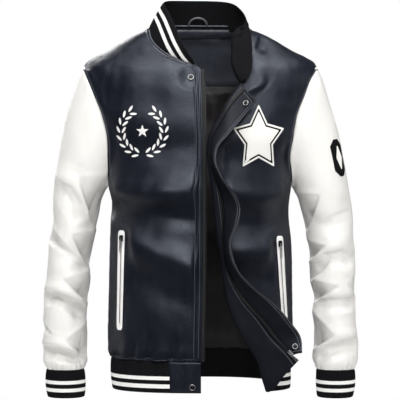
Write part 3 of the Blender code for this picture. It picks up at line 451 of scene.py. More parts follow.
def hump(distance, width):
    """Bell-shaped rise: 1 at no distance, and nearly 0 past two widths."""
    return np.exp(-(distance / width) ** 2)


def ramp(distance, reach):
    """Straight rise from 0 to 1 over a reach."""
    return np.clip(distance / reach, 0, 1)


def ease_in(distance, reach):
    """Smooth rise from 0 to 1 over a reach."""
    share = ramp(distance, reach)
    return share * share * (3 - 2 * share)


def seam_wave(places, pitch, seed):
    """Uneven wave along a seam, between -1 and 1, at distances along it."""
    return np.array([noise.noise(Vector((place / pitch, seed * 7.3, 0))) * 1.6 for place in places])


Crease = namedtuple("Crease", "depth width path")
Swell = namedtuple("Swell", "height width path")
# Heights across a crease, as shares of its depth, at distances in crease widths.
CREASE_PROFILE = ((-3.4, 0), (-2.2, 0.12), (-0.9, 0.42), (-0.2, 0.36), (0.35, -0.42), (1.5, -0.78),
                  (2.2, -0.42), (3.4, 0))
CREASE_END = 16


def beside_path(place, path):
    """Distance of each place from a path, its share along the path, and the path's length.

    The distance is above zero on the path's lower side, or towards +X beside one that goes down.
    """
    path = np.array(path, float)
    lengths = line_lengths(path)
    whole = path[-1] - path[0]
    below = 1 if whole[0] + 0.2 * whole[1] < 0 else -1
    best = np.full(place.shape[:2], 1e9)
    signed, along = np.zeros(place.shape[:2]), np.zeros(place.shape[:2])
    for index in range(len(path) - 1):
        line = path[index + 1] - path[index]
        share = np.clip(((place - path[index]) @ line) / (line @ line), 0, 1)
        off = place - path[index] - share[..., None] * line
        away = np.linalg.norm(off, axis=2)
        square = np.array([-line[1], line[0]]) * below
        nearer = away < best
        best = np.where(nearer, away, best)
        signed = np.where(nearer, np.where(off @ square > 0, away, -away), signed)
        along = np.where(nearer, (lengths[index] + share * np.linalg.norm(line)) / lengths[-1], along)
    return signed, along, lengths[-1]


def creased(surface, creases, face):
    """Sum of the creases on the front (-1) or back (1) of a surface, in millimetres.

    Each crease is a line in X and Z over the piece, with a ridge above it, a sharp fall at the line,
    a slower one after that and a quick rise out of the valley. A swell is a soft ridge or, with a height
    below zero, a soft trough.
    """
    total = np.zeros(surface.points.shape[:2])
    place = surface.points[..., [0, 2]]
    faces = np.clip(surface.normals[..., 1] * face * 1.6, 0, 1)
    for crease in creases:
        away, along, length = beside_path(place, crease.path)
        from_end = np.minimum(along, 1 - along) * length
        taper = (0.5 + 0.5 * np.sin(np.pi * along)) * ease_in(from_end, CREASE_END)
        if isinstance(crease, Swell):
            total += crease.height * hump(away, crease.width) * taper
        else:
            total += crease.depth * taper * np.interp(away / crease.width, *zip(*CREASE_PROFILE))
    return total * faces


def new_piece(name, mesh):
    """New object for a mesh, in the scene."""
    piece = bpy.data.objects.new(name, mesh)
    bpy.context.collection.objects.link(piece)
    return piece


def smoothed(mesh, angle):
    """Shade a mesh smooth, apart from edges sharper than an angle in degrees."""
    mesh.shade_smooth()
    mesh.set_sharp_from_angle(angle=math.radians(angle))


def wall_faces(surface):
    """Faces of a closed wall over a surface's grid: its front, its back, and the rims between them."""
    rows, columns = surface.points.shape[:2]
    layer = rows * columns
    across = columns if surface.closed else columns - 1
    row, column = np.meshgrid(np.arange(rows - 1), np.arange(across), indexing="ij")
    row, column = row.ravel(), column.ravel()
    beside = (column + 1) % columns
    quads = np.stack([row * columns + column, row * columns + beside,
                      (row + 1) * columns + beside, (row + 1) * columns + column], axis=1)
    if surface.turned > 0:
        front, back = quads, quads[:, ::-1] + layer
    else:
        front, back = quads[:, ::-1], quads + layer
    steps = np.arange(across)
    rims = [(edge * columns + steps, edge * columns + (steps + 1) % columns, flip)
            for edge, flip in ((0, False), (rows - 1, True))]
    if not surface.closed:
        steps = np.arange(rows - 1)
        rims += [(steps * columns + edge, (steps + 1) * columns + edge, flip)
                 for edge, flip in ((0, True), (columns - 1, False))]
    walls = []
    for first, second, flip in rims:
        if flip != (surface.turned < 0):
            first, second = second, first
        walls.append(np.stack([second, first, first + layer, second + layer], axis=1))
    return front, back, np.concatenate(walls)


def spread_flat(mesh, surface):
    """UV map of a wall in metres: the distances across and down its cloth, untorn on a tube."""
    across = np.broadcast_to(surface.u, surface.fall.shape).ravel()
    flat = np.stack([np.tile(across, 2), np.tile(surface.fall.ravel(), 2)], axis=1) * MM
    corners = np.zeros(len(mesh.loops), np.int32)
    mesh.loops.foreach_get("vertex_index", corners)
    spread = flat[corners]
    if surface.closed:
        per_face = spread[:, 0].reshape(-1, 4)
        half_way = surface.width * MM / 2
        torn = np.ptp(per_face, axis=1) > half_way
        per_face[torn[:, None] & (per_face < half_way)] += surface.width * MM
        spread[:, 0] = per_face.ravel()
    mesh.uv_layers.new(name="UVMap").data.foreach_set("uv", spread.ravel().astype(np.float32))


def shell(name, surface, wall, outside, inside=None, sewn=""):
    """Closed mesh of a cloth piece: its surface, a back one wall thickness behind, and their rims.

    The edges are rounded. At the sewn edges (t, b, l, r) the back goes on under the next piece as a
    seam allowance.
    """
    near = 1 - ramp(surface.edge_distance(), wall * ROUND_REACH)
    outer = surface.points - wall * ROUNDED * near[..., None] * surface.normals
    free_sides = "".join(set("tblr") - set(sewn))
    free = 1 - ramp(surface.edge_distance(free_sides), wall * ROUND_REACH)
    inner = surface.points - surface.normals * (wall * (1 - ROUNDED * free[..., None]) + surface.padding)
    for side, edge, beside in (("t", np.s_[0], np.s_[1]), ("b", np.s_[-1], np.s_[-2]),
                               ("l", np.s_[:, 0], np.s_[:, 1]), ("r", np.s_[:, -1], np.s_[:, -2])):
        if side in sewn:
            away = surface.points[edge] - surface.points[beside]
            inner[edge] += ALLOWANCE * away / np.linalg.norm(away, axis=-1, keepdims=True)
    front, back, rims = wall_faces(surface)
    faces = np.concatenate([front, back, rims])
    vertices = np.concatenate([outer.reshape(-1, 3), inner.reshape(-1, 3)]) * MM
    mesh = bpy.data.meshes.new(name)
    mesh.from_pydata(vertices.tolist(), [], faces.tolist())
    mesh.materials.append(outside)
    mesh.materials.append(inside or outside)
    slots = np.zeros(len(faces), np.int32)
    slots[len(front):len(front) + len(back)] = 1
    mesh.polygons.foreach_set("material_index", slots)
    spread_flat(mesh, surface)
    mesh.update()
    smoothed(mesh, SOFT_EDGE)
    return new_piece(name, mesh)


def fit(piece, slot, *nodes, body="jacket"):
    """Hang a finished piece on the jacket in place of its plain solids."""
    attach(piece, body)
    if nodes:
        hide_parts(*nodes)
    return piece


def seam_dip(surface, sides, depth=1.1, reach=2.6):
    """How far a panel sinks towards the named seams."""
    return -depth * hump(surface.edge_distance(sides), reach)


def puckers(surface, side, size, reach, pitch, seed):
    """Small folds square to one edge that die out away from it."""
    if side in "tb":
        wave = seam_wave(surface.u, pitch, seed)[None, :]
    else:
        wave = seam_wave(surface.v, pitch, seed)[:, None]
    away = surface.edge_distance(side)
    return size * wave * np.exp(-away / reach) * np.clip(away / 1.5, 0.25, 1)


RIGHT_FRONT_CREASES = [
    Crease(3.6, 9, ((-212, -78), (-207, -112), (-201, -150))),
    Crease(3.0, 16, ((-168, -60), (-178, -105), (-180, -160))),
    Crease(4.6, 10, ((-170, -257), (-158, -284), (-141, -306))),
    Swell(8.4, 38, ((-250, -90), (-120, -94), (40, -98))),
    Swell(-8.8, 30, ((-200, -214), (-120, -220), (-60, -222), (30, -216))),
    Swell(17.0, 26, ((-210, -286), (-140, -302), (-80, -306), (30, -298))),
    Swell(-11.5, 20, ((-214, -314), (-140, -336), (-80, -346), (30, -356))),
    Swell(17.5, 30, ((-200, -372), (-130, -394), (-72, -420), (30, -462))),
    Swell(-4.5, 26, ((-190, -434), (-126, -456), (-72, -484), (30, -528))),
    Swell(2.0, 22, ((-150, -520), (-90, -540), (-20, -570))),
    Crease(3.4, 7, ((-99, -562), (-98, -588), (-97, -614))),
    Crease(2.8, 6, ((-128, -566), (-130, -592), (-131, -614))),
    Crease(2.6, 6, ((-56, -570), (-54, -594), (-53, -614))),
]
LEFT_FRONT_CREASES = [
    Crease(3.0, 9, ((212, -80), (205, -116), (196, -158))),
    Crease(5.0, 10, ((112, -4), (107, -24), (98, -48))),
    Crease(2.6, 15, ((160, -58), (172, -104), (174, -160))),
    Swell(6.5, 38, ((30, -98), (120, -94), (250, -90))),
    Swell(-5.6, 26, ((40, -240), (110, -246), (190, -236))),
    Swell(10.5, 21, ((40, -306), (110, -314), (190, -298))),
    Swell(-10.5, 22, ((40, -362), (110, -366), (190, -348))),
    Swell(9.5, 23, ((40, -410), (110, -414), (190, -396))),
    Swell(-4.0, 22, ((40, -464), (110, -464), (190, -448))),
    Crease(4.6, 11, ((168, -272), (152, -292), (140, -306))),
    Crease(2.4, 14, ((70, -500), (112, -514), (150, -520))),
    Crease(2.8, 7, ((152, -570), (151, -592), (150, -614))),
]
BACK_CREASES = [
    Crease(3.4, 13, ((-186, -130), (-160, -176), (-148, -236))),
    Crease(3.2, 13, ((184, -132), (160, -180), (146, -244))),
    Crease(3.6, 15, ((-166, -306), (-110, -322), (-44, -352))),
    Crease(3.2, 14, ((168, -318), (116, -332), (58, -366))),
    Swell(3.2, 23, ((-150, -350), (-80, -380), (4, -410))),
    Crease(3.0, 15, ((-158, -416), (-92, -440), (-24, -470))),
    Crease(2.8, 14, ((160, -402), (104, -428), (40, -446))),
    Swell(2.6, 21, ((140, -470), (70, -500), (-20, -512))),
    Crease(2.6, 13, ((-136, -528), (-70, -540), (10, -546))),
    Swell(-2.4, 20, ((-70, -80), (-24, -150), (-6, -250))),
    Swell(-2.0, 19, ((80, -84), (44, -170), (30, -260))),
]


SEAM_EASE = 18
FLAT_EASE = 20
ROLL_HEIGHT = 2.6


def blouse(surface, above, width):
    """Roll of a cloth over the rib that it is gathered into, at a height above the seam."""
    return ROLL_HEIGHT * hump(surface.edge_distance("b") - above, width)


def body_panel(node, facing, creases, face, edges, seed, flat=(), step=3.6):
    """Fine surface of a body panel with its creases, swells, seam dips and gathers.

    It stays flat along the given lines in X and Z, where a pocket or a snap is set.
    """
    surface = Surface(cloth_grid(node, facing=facing), step)
    inner = ease_in(surface.edge_distance(), SEAM_EASE)
    for start, end, reach in flat:
        away, _, _ = beside_path(surface.points[..., [0, 2]], (start, end))
        inner = inner * ease_in(np.abs(away) - reach, FLAT_EASE)
    offset = creased(surface, creases, face) * inner
    offset += (rumple(surface, 62, seed) * 2.0 + rumple(surface, 24, seed + 1) * 0.5) * inner
    offset += seam_dip(surface, edges, 0.8)
    for side in edges:
        offset += puckers(surface, side, size=0.3 if side == "t" else 0.6, reach=7.0, pitch=9.0,
                          seed=seed + ord(side))
    offset += blouse(surface, above=16, width=12) * inner
    offset += puckers(surface, "b", size=3.0, reach=24.0, pitch=15.0, seed=seed + 3) * (0.4 + 0.6 * inner)
    surface.raise_by(offset)
    return surface


def gathers(surface, folds, reach=30.0):
    """Upright folds over the lower edge."""
    low = surface.edge_distance("b")
    fade = np.exp(-(low / reach) ** 1.5) * ease_in(low, 4)
    x = surface.points[..., 0]
    return sum(height * hump(x - at - 0.12 * low, width) for at, height, width in folds) * fade


PULL_PITCH = 9.2


def stitch_channel(surface, side, inset, seed, depth=1.3):
    """Groove of a row of stitching beside an edge, drawn in a little at each stitch."""
    away = surface.edge_distance(side) - inset
    along = surface.v[:, None] if side in "lr" else surface.u[None, :]
    wave = np.sin(along * 2 * math.pi / PULL_PITCH + seed + 0.9 * np.sin(along / 19.0))
    return -depth * hump(away, 1.3) * (1 + 0.4 * wave) + 0.8 * wave * hump(away, 3.6)


NECKLINE_FOOT = -70


def neck_ridge(surface, column):
    """Ridge where the seam allowances lie under the cloth beside the neckline, with a groove on each side."""
    edge = surface.points[:, column]
    edge = edge[edge[:, 2] > NECKLINE_FOOT]
    rows = len(edge) + 6
    places = np.linspace(0, len(edge) - 1, 240)
    line = np.stack([np.interp(places, np.arange(len(edge)), edge[:, axis]) for axis in range(3)], axis=1)
    away = np.full(surface.points.shape[:2], 1e3)
    away[:rows] = np.linalg.norm(surface.points[:rows, :, None] - line, axis=3).min(axis=2)
    return 1.3 * hump(away - 4.6, 1.7) - 0.6 * hump(away - 1.4, 1.2) - 0.9 * hump(away - 8.2, 1.7)


# Flat places: two ends of a line in X and Z, and how far from it the cloth stays flat.
POCKET_RIGHT = ((-147.5, -384), (-150.5, -556), 10)
POCKET_LEFT = ((148, -392), (156.5, -560), 10)
NECK_SNAP = ((-18, -93), (-17, -93), 6)
# The two rows of stitches beside the right front edge.
EDGE_ROWS = (4.5, 11.6)
# Upright folds above the hem: a place in X, a height and a width for each.
RIGHT_GATHERS = ((-172, 2.0, 7), (-158, -2.6, 6), (-143, 3.0, 8), (-127, -2.4, 6), (-114, 2.6, 7),
                 (-99, -5.5, 7), (-83, 5.5, 9), (-68, 3.4, 7), (-54, -4.0, 6), (-40, 2.0, 8))
LEFT_GATHERS = ((176, 2.0, 7), (163, -3.6, 6), (150, 3.0, 8), (136, -3.0, 6), (120, 2.6, 8))
BACK_GATHERS = [(-168 + 17 * step, (2.8, -3.6, 3.4, -2.4)[step % 4], 7 + step % 3) for step in range(21)]
BODY_WALL = 1.8

front_right = body_panel("front_right", FRONT, RIGHT_FRONT_CREASES, -1, "tbl", 1, (POCKET_RIGHT, NECK_SNAP))
front_right.raise_by(
    stitch_channel(front_right, "r", EDGE_ROWS[0], 0) + stitch_channel(front_right, "r", EDGE_ROWS[1], 2)
    + 0.5 * hump(front_right.edge_distance("r") - 8, 2.2) + neck_ridge(front_right, -1)
    + 1.4 * gathers(front_right, RIGHT_GATHERS))
front_left = body_panel("front_left", FRONT, LEFT_FRONT_CREASES, -1, "tbr", 2, (POCKET_LEFT,))
front_left.raise_by(neck_ridge(front_left, 0) + gathers(front_left, LEFT_GATHERS))
back = body_panel("back", BACK, BACK_CREASES, 1, "tblr", 3, step=4.2)
back.raise_by(gathers(back, BACK_GATHERS))
piece = shell("front_right_panel", front_right, BODY_WALL, NAVY, LINING, "tbl")
fit(piece, "navy_cloth", "front_right")
piece = shell("front_left_panel", front_left, BODY_WALL, NAVY, LINING, "tblr")
fit(piece, "navy_cloth", "front_left")
piece = shell("back_panel", back, BODY_WALL, NAVY, LINING, "tblr")
fit(piece, "navy_cloth", "back")

# --- Turned-out left edge --------------------------------------------------------------------------
# The left front rolls over at the opening. Its navy facing shows from the roll to the zip, and behind
# the zip a double storm flap with two snaps stands out from the same seam.

NAVY_INNER = coated_cloth("navy_inner_cloth", (0.0039, 0.0044, 0.0074, 1), (0.0077, 0.0086, 0.0135, 1),
                          roughness=0.52, cell_size=760.0, bump=0.38, tint=(0.36, 0.39, 0.44, 1))
FLAP_WALL = 2.0

facing_left = Surface(cloth_grid("facing_left", facing=FRONT), 3.2)
facing_left.raise_by(
    rumple(facing_left, 34, 21) * 1.3 * ramp(facing_left.edge_distance(), 9)
    + seam_dip(facing_left, "br", 0.9, 2.2) + puckers(facing_left, "r", 0.5, 6.0, 10.0, 22)
    + puckers(facing_left, "b", 0.8, 8.0, 9.0, 23))
piece = shell("facing_left_strip", facing_left, BODY_WALL, NAVY_INNER, sewn="tlr")
fit(piece, "navy_cloth", "facing_left")

storm_flap = Surface(cloth_grid("storm_flap", facing=FRONT), 3.2)
storm_flap.raise_by(
    rumple(storm_flap, 40, 24) * ramp(storm_flap.edge_distance("tbl"), 9)
    + seam_dip(storm_flap, "l", 0.7, 2.2) - 0.5 * hump(storm_flap.edge_distance("tbr") - 6.0, 1.3))
piece = shell("storm_flap_strip", storm_flap, FLAP_WALL, NAVY_INNER, sewn="l")
fit(piece, "navy_cloth", "storm_flap")

# --- Hem band --------------------------------------------------------------------------------------
# A doubled black rib knit that pulls the hem in, with two white stripes knitted in. Its plain tab at
# the right front edge is the coated cloth and holds the lowest snap.

RIB_PITCH = 3.2
RIB_WALL = 2.4
RIB_WALLS = (2.0, 3.0)
STITCH_WIDE, STITCH_TALL = 1.6, 1.3
# How far loose fibres move the edge of a stripe.
STRIPE_FUZZ = 0.9


def knit_pattern():
    """Knit stitches in columns, and a mask of two stripes at distances from the free edge."""
    group, given, out = new_group(
        "rib_knit", [("First From", 0.0), ("First To", 0.0), ("Second From", 0.0), ("Second To", 0.0)],
        [("Stripe", "NodeSocketFloat"), ("Height", "NodeSocketFloat"), ("Fluff", "NodeSocketFloat")])
    split = node_in(group, "ShaderNodeSeparateXYZ")
    group.links.new(node_in(group, "ShaderNodeUVMap").outputs[0], split.inputs[0])
    place = object_place(group)
    fluff = noise_in(group, place, 1500.0, 3.0, 0.6)
    fall = math_in(group, "MULTIPLY_ADD", fluff, STRIPE_FUZZ * MM, split.outputs[1])
    masks = []
    for low, high in (("First From", "First To"), ("Second From", "Second To")):
        above = math_in(group, "GREATER_THAN", fall, given[low])
        below = math_in(group, "LESS_THAN", fall, given[high])
        masks.append(math_in(group, "MULTIPLY", above, below))
    group.links.new(math_in(group, "MAXIMUM", masks[0], masks[1]), out["Stripe"])
    across = math_in(group, "MULTIPLY", split.outputs[0], math.pi / (STITCH_WIDE * MM))
    lean = math_in(group, "ABSOLUTE", math_in(group, "SINE", across))
    down = math_in(group, "MULTIPLY", split.outputs[1], 2 * math.pi / (STITCH_TALL * MM))
    stitch = math_in(group, "SINE", math_in(group, "MULTIPLY_ADD", lean, 1.6, down))
    group.links.new(math_in(group, "MULTIPLY_ADD", fluff, 1.2, stitch), out["Height"])
    group.links.new(fluff, out["Fluff"])
    return group


KNIT = knit_pattern()
YARN = (0.0026, 0.0027, 0.0038, 1)
YARN_LIT = (0.0068, 0.0070, 0.0094, 1)
STRIPE_YARN = (0.80, 0.795, 0.775, 1)
STRIPE_LIT = (0.95, 0.945, 0.93, 1)


def rib_knit(name, stripes, dark_yarn=YARN, lit_yarn=YARN_LIT):
    """Material of the black rib with stripes at distances in millimetres from its first row."""
    material, tree, shader = new_material(name)
    knit = node_in(tree, "ShaderNodeGroup", node_tree=KNIT)
    for label, value in zip(("First From", "First To", "Second From", "Second To"), stripes):
        knit.inputs[label].default_value = value * MM
    dark = mix_colours(tree, knit.outputs["Fluff"], dark_yarn, lit_yarn)
    pale = mix_colours(tree, knit.outputs["Fluff"], STRIPE_YARN, STRIPE_LIT)
    tree.links.new(mix_colours(tree, knit.outputs["Stripe"], dark, pale), shader.inputs["Base Color"])
    relieve(tree, shader, knit.outputs["Height"], 0.7, 0.0003)
    sockets(shader, Roughness=0.88, IOR=1.3)
    return material


def ribbed(surface, squeeze, seed, depth=0.42):
    """Raise the knit columns of a rib, and swell it a little between its edges."""
    wave = np.cos(surface.u * (2 * math.pi / (surface.width / round(surface.width / RIB_PITCH))))
    ends = np.clip(surface.edge_distance("tb") / 4.0, 0.3, 1)
    swell = np.sin(np.pi * np.clip(surface.v / surface.height, 0, 1))[:, None]
    surface.raise_by(depth * wave[None, :] * ends + squeeze * swell + rumple(surface, 45, seed) * 0.7 * swell)


HEM_KNIT = rib_knit("hem_rib_knit", (27.4, 34.2, 41.9, 49.6))
# Stripes past the knit's edge leave it plain.
PAST_ITS_EDGE = (900, 901, 900, 901)
# The plain inner layers of the hem, cuffs and collar use the rib's black yarn painted a little darker, as
# painted shade on the insides.
PLAIN_KNIT_PAINTED_SHADE = rib_knit("plain_rib_knit_painted_shade", PAST_ITS_EDGE, (0.0022, 0.0023, 0.0030, 1),
                      (0.0054, 0.0057, 0.0072, 1))
hem_rib = Surface(cloth_grid("hem_rib", RIB_WALLS), 4.5, across_step=0.66)
ribbed(hem_rib, squeeze=1.2, seed=31)
piece = shell("hem_rib_band", hem_rib, RIB_WALL, HEM_KNIT, PLAIN_KNIT_PAINTED_SHADE, "tl")
fit(piece, "rib_knit", "hem_rib")

hem_tab = Surface(cloth_grid("hem_tab_right", RIB_WALLS), 3.0)
hem_tab.raise_by(rumple(hem_tab, 30, 33) * 0.8 * ramp(hem_tab.edge_distance(), 8)
                 + seam_dip(hem_tab, "tl", 0.9, 2.0))
piece = shell("hem_tab_cloth", hem_tab, RIB_WALL, NAVY, sewn="tl")
fit(piece, "navy_cloth", "hem_tab_right")

# --- Sleeves ---------------------------------------------------------------------------------------
# Off-white coated cloth, cut in one piece each with a seam under the arm. They are set in below the
# shoulder point, stack in soft diagonal folds, and are gathered into the cuffs.

OFF_WHITE = coated_cloth("off_white_coated_cloth", (0.703, 0.691, 0.664, 1), (0.772, 0.763, 0.741, 1),
                         roughness=0.46, cell_size=800.0, bump=0.35)
Tuck = namedtuple("Tuck", "depth apex upper lower")
RIGHT_SLEEVE_CREASES = [
    Crease(9.5, 12, ((-292, -294), (-262, -284), (-240, -294), (-222, -322), (-204, -356))),
    Crease(17.0, 8.5, ((-312, -494), (-272, -488), (-244, -498), (-221, -514), (-206, -540))),
    Crease(16.0, 8.5, ((-312, -594), (-272, -590), (-244, -598), (-204, -618))),
]
RIGHT_SLEEVE_TUCKS = [
    Tuck(14.0, (-227, -276), (-174, -274), (-199, -362)),
    Tuck(13.0, (-240, -382), (-203, -378), (-210, -437)),
    Tuck(9.0, (-217, -435), (-278, -371), (-285, -396)),
    Tuck(14.0, (-256, -466), (-208, -453), (-213, -506)),
    Tuck(6.0, (-275, -569), (-295, -547), (-295, -563)),
    Tuck(13.0, (-252, -579), (-218, -553), (-216, -612)),
]
LEFT_SLEEVE_CREASES = [
    Crease(3.4, 14, ((290, -330), (246, -346), (216, -366))),
    Crease(10.0, 10, ((200, -446), (232, -418), (263, -410), (300, -430))),
    Crease(9.0, 9, ((206, -512), (241, -500), (304, -497))),
    Crease(12.0, 10, ((204, -612), (232, -589), (262, -578), (308, -575))),
]
LEFT_SLEEVE_TUCKS = [
    Tuck(13.0, (221, -308), (181, -306), (198, -373)),
    Tuck(10.0, (233, -403), (201, -395), (207, -427)),
    Tuck(6.0, (247, -418), (207, -437), (211, -463)),
    Tuck(10.0, (258, -479), (212, -468), (215, -505)),
    Tuck(13.0, (251, -569), (214, -533), (216, -592)),
    Tuck(4.0, (272, -477), (291, -456), (290, -494)),
]
BACK_SLEEVE_CREASES = [
    Crease(3.4, 10, ((190, -232), (206, -268), (238, -300))),
    Crease(4.0, 9, ((206, -330), (240, -346), (276, -340))),
    Crease(4.8, 8, ((208, -398), (244, -408), (280, -392))),
    Crease(3.6, 9, ((222, -440), (256, -452), (288, -470))),
    Crease(5.6, 8, ((212, -492), (248, -500), (290, -484))),
    Crease(4.4, 8, ((214, -540), (250, -560), (290, -550))),
    Crease(5.4, 8, ((216, -598), (250, -606), (292, -590))),
]


def mirrored(creases, shift):
    """The same folds on the other sleeve, moved up a little so that the two differ."""
    return [Crease(fold.depth * 0.9, fold.width * 1.1, [(-x, z + shift) for x, z in fold.path])
            for fold in creases]


LIP = 0.14


def tucked(surface, tucks):
    """Flat three-sided facets where the cloth folds in, each ending in a sharp step along its lower line.

    The facet starts at the apex, widens towards its base, and sinks from a raised lip at its upper line
    to its lower line.
    """
    total = np.zeros(surface.points.shape[:2])
    faces = np.clip(-surface.normals[..., 1] * 1.6 + 0.35, 0, 1)
    for tuck in tucks:
        apex, upper, lower = (np.array(corner, float) for corner in tuck[1:])
        shares = (surface.points[..., [0, 2]] - apex) @ np.linalg.inv(np.stack([upper - apex, lower - apex]))
        reach = np.clip(shares.sum(axis=2), 0, 1.25)
        turn = shares[..., 1] / np.maximum(reach, 1e-3)
        span = np.linalg.norm(lower - upper) * reach
        before, beyond = -turn * span, (turn - 1) * span
        sunk = np.where(turn < 0, -LIP * hump(before, 7),
                        np.where(turn < 1, turn * (1 + LIP) - LIP, 1 - ramp(beyond, 6)))
        total -= np.where(shares.sum(axis=2) > 0, tuck.depth * reach ** 0.8 * sunk, 0)
    return total * faces


def sleeve(side, creases, tucks, back_creases, seed):
    """Fine surface of a sleeve with its folds, its seam, and its gathers at the cuff."""
    surface = Surface(cloth_grid("sleeve_" + side), 2.4, across_step=2.7)
    inner = ease_in(surface.edge_distance(), SEAM_EASE)
    offset = (creased(surface, creases, -1) * 1.2 + tucked(surface, tucks) * 1.45
              + creased(surface, back_creases, 1) * 1.5)
    offset += rumple(surface, 60, seed) * 1.3 + rumple(surface, 22, seed + 1, (1, 1, 1.5)) * 0.25
    offset *= inner
    offset += seam_dip(surface, "tb", 1.2, 2.6)
    offset -= 0.9 * hump(surface.u - surface.width * 0.5, 2.4)[None, :]
    offset += puckers(surface, "t", size=0.7, reach=9.0, pitch=9.0, seed=seed + 2)
    offset += blouse(surface, above=15, width=11) * inner
    offset += puckers(surface, "b", size=2.6, reach=17.0, pitch=9.5, seed=seed + 4)
    surface.raise_by(offset)
    return surface


sleeve_right = sleeve("right", RIGHT_SLEEVE_CREASES, RIGHT_SLEEVE_TUCKS, mirrored(BACK_SLEEVE_CREASES, 9), 41)
sleeve_left = sleeve("left", LEFT_SLEEVE_CREASES, LEFT_SLEEVE_TUCKS, BACK_SLEEVE_CREASES, 47)
for side, surface in (("right", sleeve_right), ("left", sleeve_left)):
    piece = shell("sleeve_" + side + "_cloth", surface, BODY_WALL, OFF_WHITE, LINING, "tb")
    fit(piece, "off_white_cloth", "sleeve_" + side)

# --- Cuffs -----------------------------------------------------------------------------------------
# Tubes of the same rib knit, doubled at the wrist edge, with two white stripes. They are stretched as
# they are sewn on, so that each sleeve gathers above its cuff.

CUFF_KNIT = rib_knit("cuff_rib_knit", (19.4, 26.0, 33.8, 40.6))
for side, seed in (("right", 51), ("left", 53)):
    surface = Surface(cloth_grid("cuff_" + side, RIB_WALLS), 4.0, across_step=0.62)
    ribbed(surface, squeeze=0.8, seed=seed)
    piece = shell("cuff_" + side + "_rib", surface, RIB_WALL, CUFF_KNIT, PLAIN_KNIT_PAINTED_SHADE, "t")
    fit(piece, "rib_knit", "cuff_" + side)

# --- Collar ----------------------------------------------------------------------------------------
# A doubled rib strip that stands round the neck and tapers to the front ends. The stripes are knitted
# at fixed distances from the free edge of its outer layer; the inner layer is plain.

COLLAR_KNIT = rib_knit("collar_rib_knit", (11.0, 18.0, 26.0, 33.0))
collar = Surface(cloth_grid("collar", RIB_WALLS, facing=BACK), 4.5, across_step=0.62)
ribbed(collar, squeeze=0.5, seed=57)
# The open front pulls the band inwards on the left of the neck, where its inner layer bags over the seam.
# Each pair is a share of the way round the band and how far it bags.
BAGGED = ((0.575, 0), (0.655, 12), (0.70, 15), (0.775, 15), (0.81, 9), (0.86, 0))
BAG_EASE = 15
bag = np.interp(collar.u / collar.width, *zip(*BAGGED))
window = np.ones(2 * BAG_EASE + 1) / (2 * BAG_EASE + 1)
bag = np.convolve(np.pad(bag, BAG_EASE, mode="edge"), window, mode="valid")
sag = ramp(collar.v / collar.height - 0.15, 0.75) ** 1.5
collar.padding = (bag[None, :] * sag[:, None])[..., None]
piece = shell("collar_rib", collar, RIB_WALL, COLLAR_KNIT, PLAIN_KNIT_PAINTED_SHADE, "b")
fit(piece, "rib_knit", "collar")

# --- Inside of the back ----------------------------------------------------------------------------
# A navy facing is sewn round the inner neck, and the woven lining hangs from it. A satin cord loop at
# the neck seam takes the hook.

# The facing and the neck strip are the body's navy coated cloth, painted more than ten times lighter as
# painted light for the inside of the back, where little lamp light falls.
NAVY_PAINTED_LIGHT = coated_cloth("navy_cloth_painted_light", (0.032, 0.036, 0.050, 1), (0.062, 0.069, 0.090, 1),
                           roughness=0.38, cell_size=900.0, bump=0.3)
FACING_WALL, LINING_WALL = 1.4, 0.8

neck_facing = Surface(cloth_grid("back_neck_facing", facing=(0, -1, 0.2)), 3.6)
fullness = 0.8 + np.maximum(rumple(neck_facing, 32, 61), -0.3) * 2.6
neck_facing.raise_by(fullness * ramp(neck_facing.edge_distance(), 10)
                     + seam_dip(neck_facing, "tb", 0.6, 2.0) + puckers(neck_facing, "t", 1.6, 12.0, 14.0, 62))
piece = shell("back_neck_facing_cloth", neck_facing, FACING_WALL, NAVY_PAINTED_LIGHT, sewn="t")
fit(piece, "navy_cloth", "back_neck_facing")

surface = Surface(cloth_grid("lining_back", (1.4, 2.0), facing=FRONT), 5.0)
crumple = rumple(surface, 60, 63, (2.2, 1, 0.6)) * 3.4 + rumple(surface, 22, 64, (1.4, 1, 0.7)) * 1.5
surface.raise_by((crumple - min(0, crumple.min())) * ramp(surface.edge_distance(), 14))
piece = shell("lining_back_cloth", surface, LINING_WALL, LINING)
fit(piece, "lining", "lining_back")


def darker(colour, share):
    """A share of a colour."""
    return tuple(part * share for part in colour[:3]) + (1,)


def satin_tape(name, colour, roughness, deep=None, scale=620.0, distortion=0.6, detail=1.0, bump=0.5):
    """Material of a narrow woven tape or of laid threads: a fine twill with a soft shine."""
    material, tree, shader = new_material(name)
    twill = node_in(tree, "ShaderNodeTexWave", wave_type="BANDS", bands_direction="DIAGONAL")
    sockets(twill, Scale=scale, Distortion=distortion, Detail=detail)
    tree.links.new(object_place(tree), twill.inputs["Vector"])
    tone = mix_colours(tree, twill.outputs["Fac"], deep or darker(colour, 0.7), colour)
    tree.links.new(tone, shader.inputs["Base Color"])
    relieve(tree, shader, twill.outputs["Fac"], bump, 0.0002)
    sockets(shader, Roughness=roughness)
    return material


def edit_whole(piece):
    """Go into edit mode on one piece alone, with all of its mesh selected."""
    bpy.ops.object.select_all(action="DESELECT")
    bpy.context.view_layer.objects.active = piece
    piece.select_set(True)
    bpy.ops.object.mode_set(mode="EDIT")
    bpy.ops.mesh.select_all(action="SELECT")


def joined(node):
    """Copy of a plain solid's mesh with its corners joined, as a new object."""
    piece = new_piece(node + "_finished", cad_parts[node].data.copy())
    edit_whole(piece)
    bpy.ops.mesh.remove_doubles(threshold=SAME_POINT * MM)
    bpy.ops.object.mode_set(mode="OBJECT")
    return piece


def with_modifier(piece, kind, **settings):
    """Add a modifier to a piece and apply it."""
    added = piece.modifiers.new(kind.title(), kind)
    for name, value in settings.items():
        setattr(added, name, value)
    bpy.context.view_layer.objects.active = piece
    bpy.ops.object.modifier_apply(modifier=added.name)
    return piece


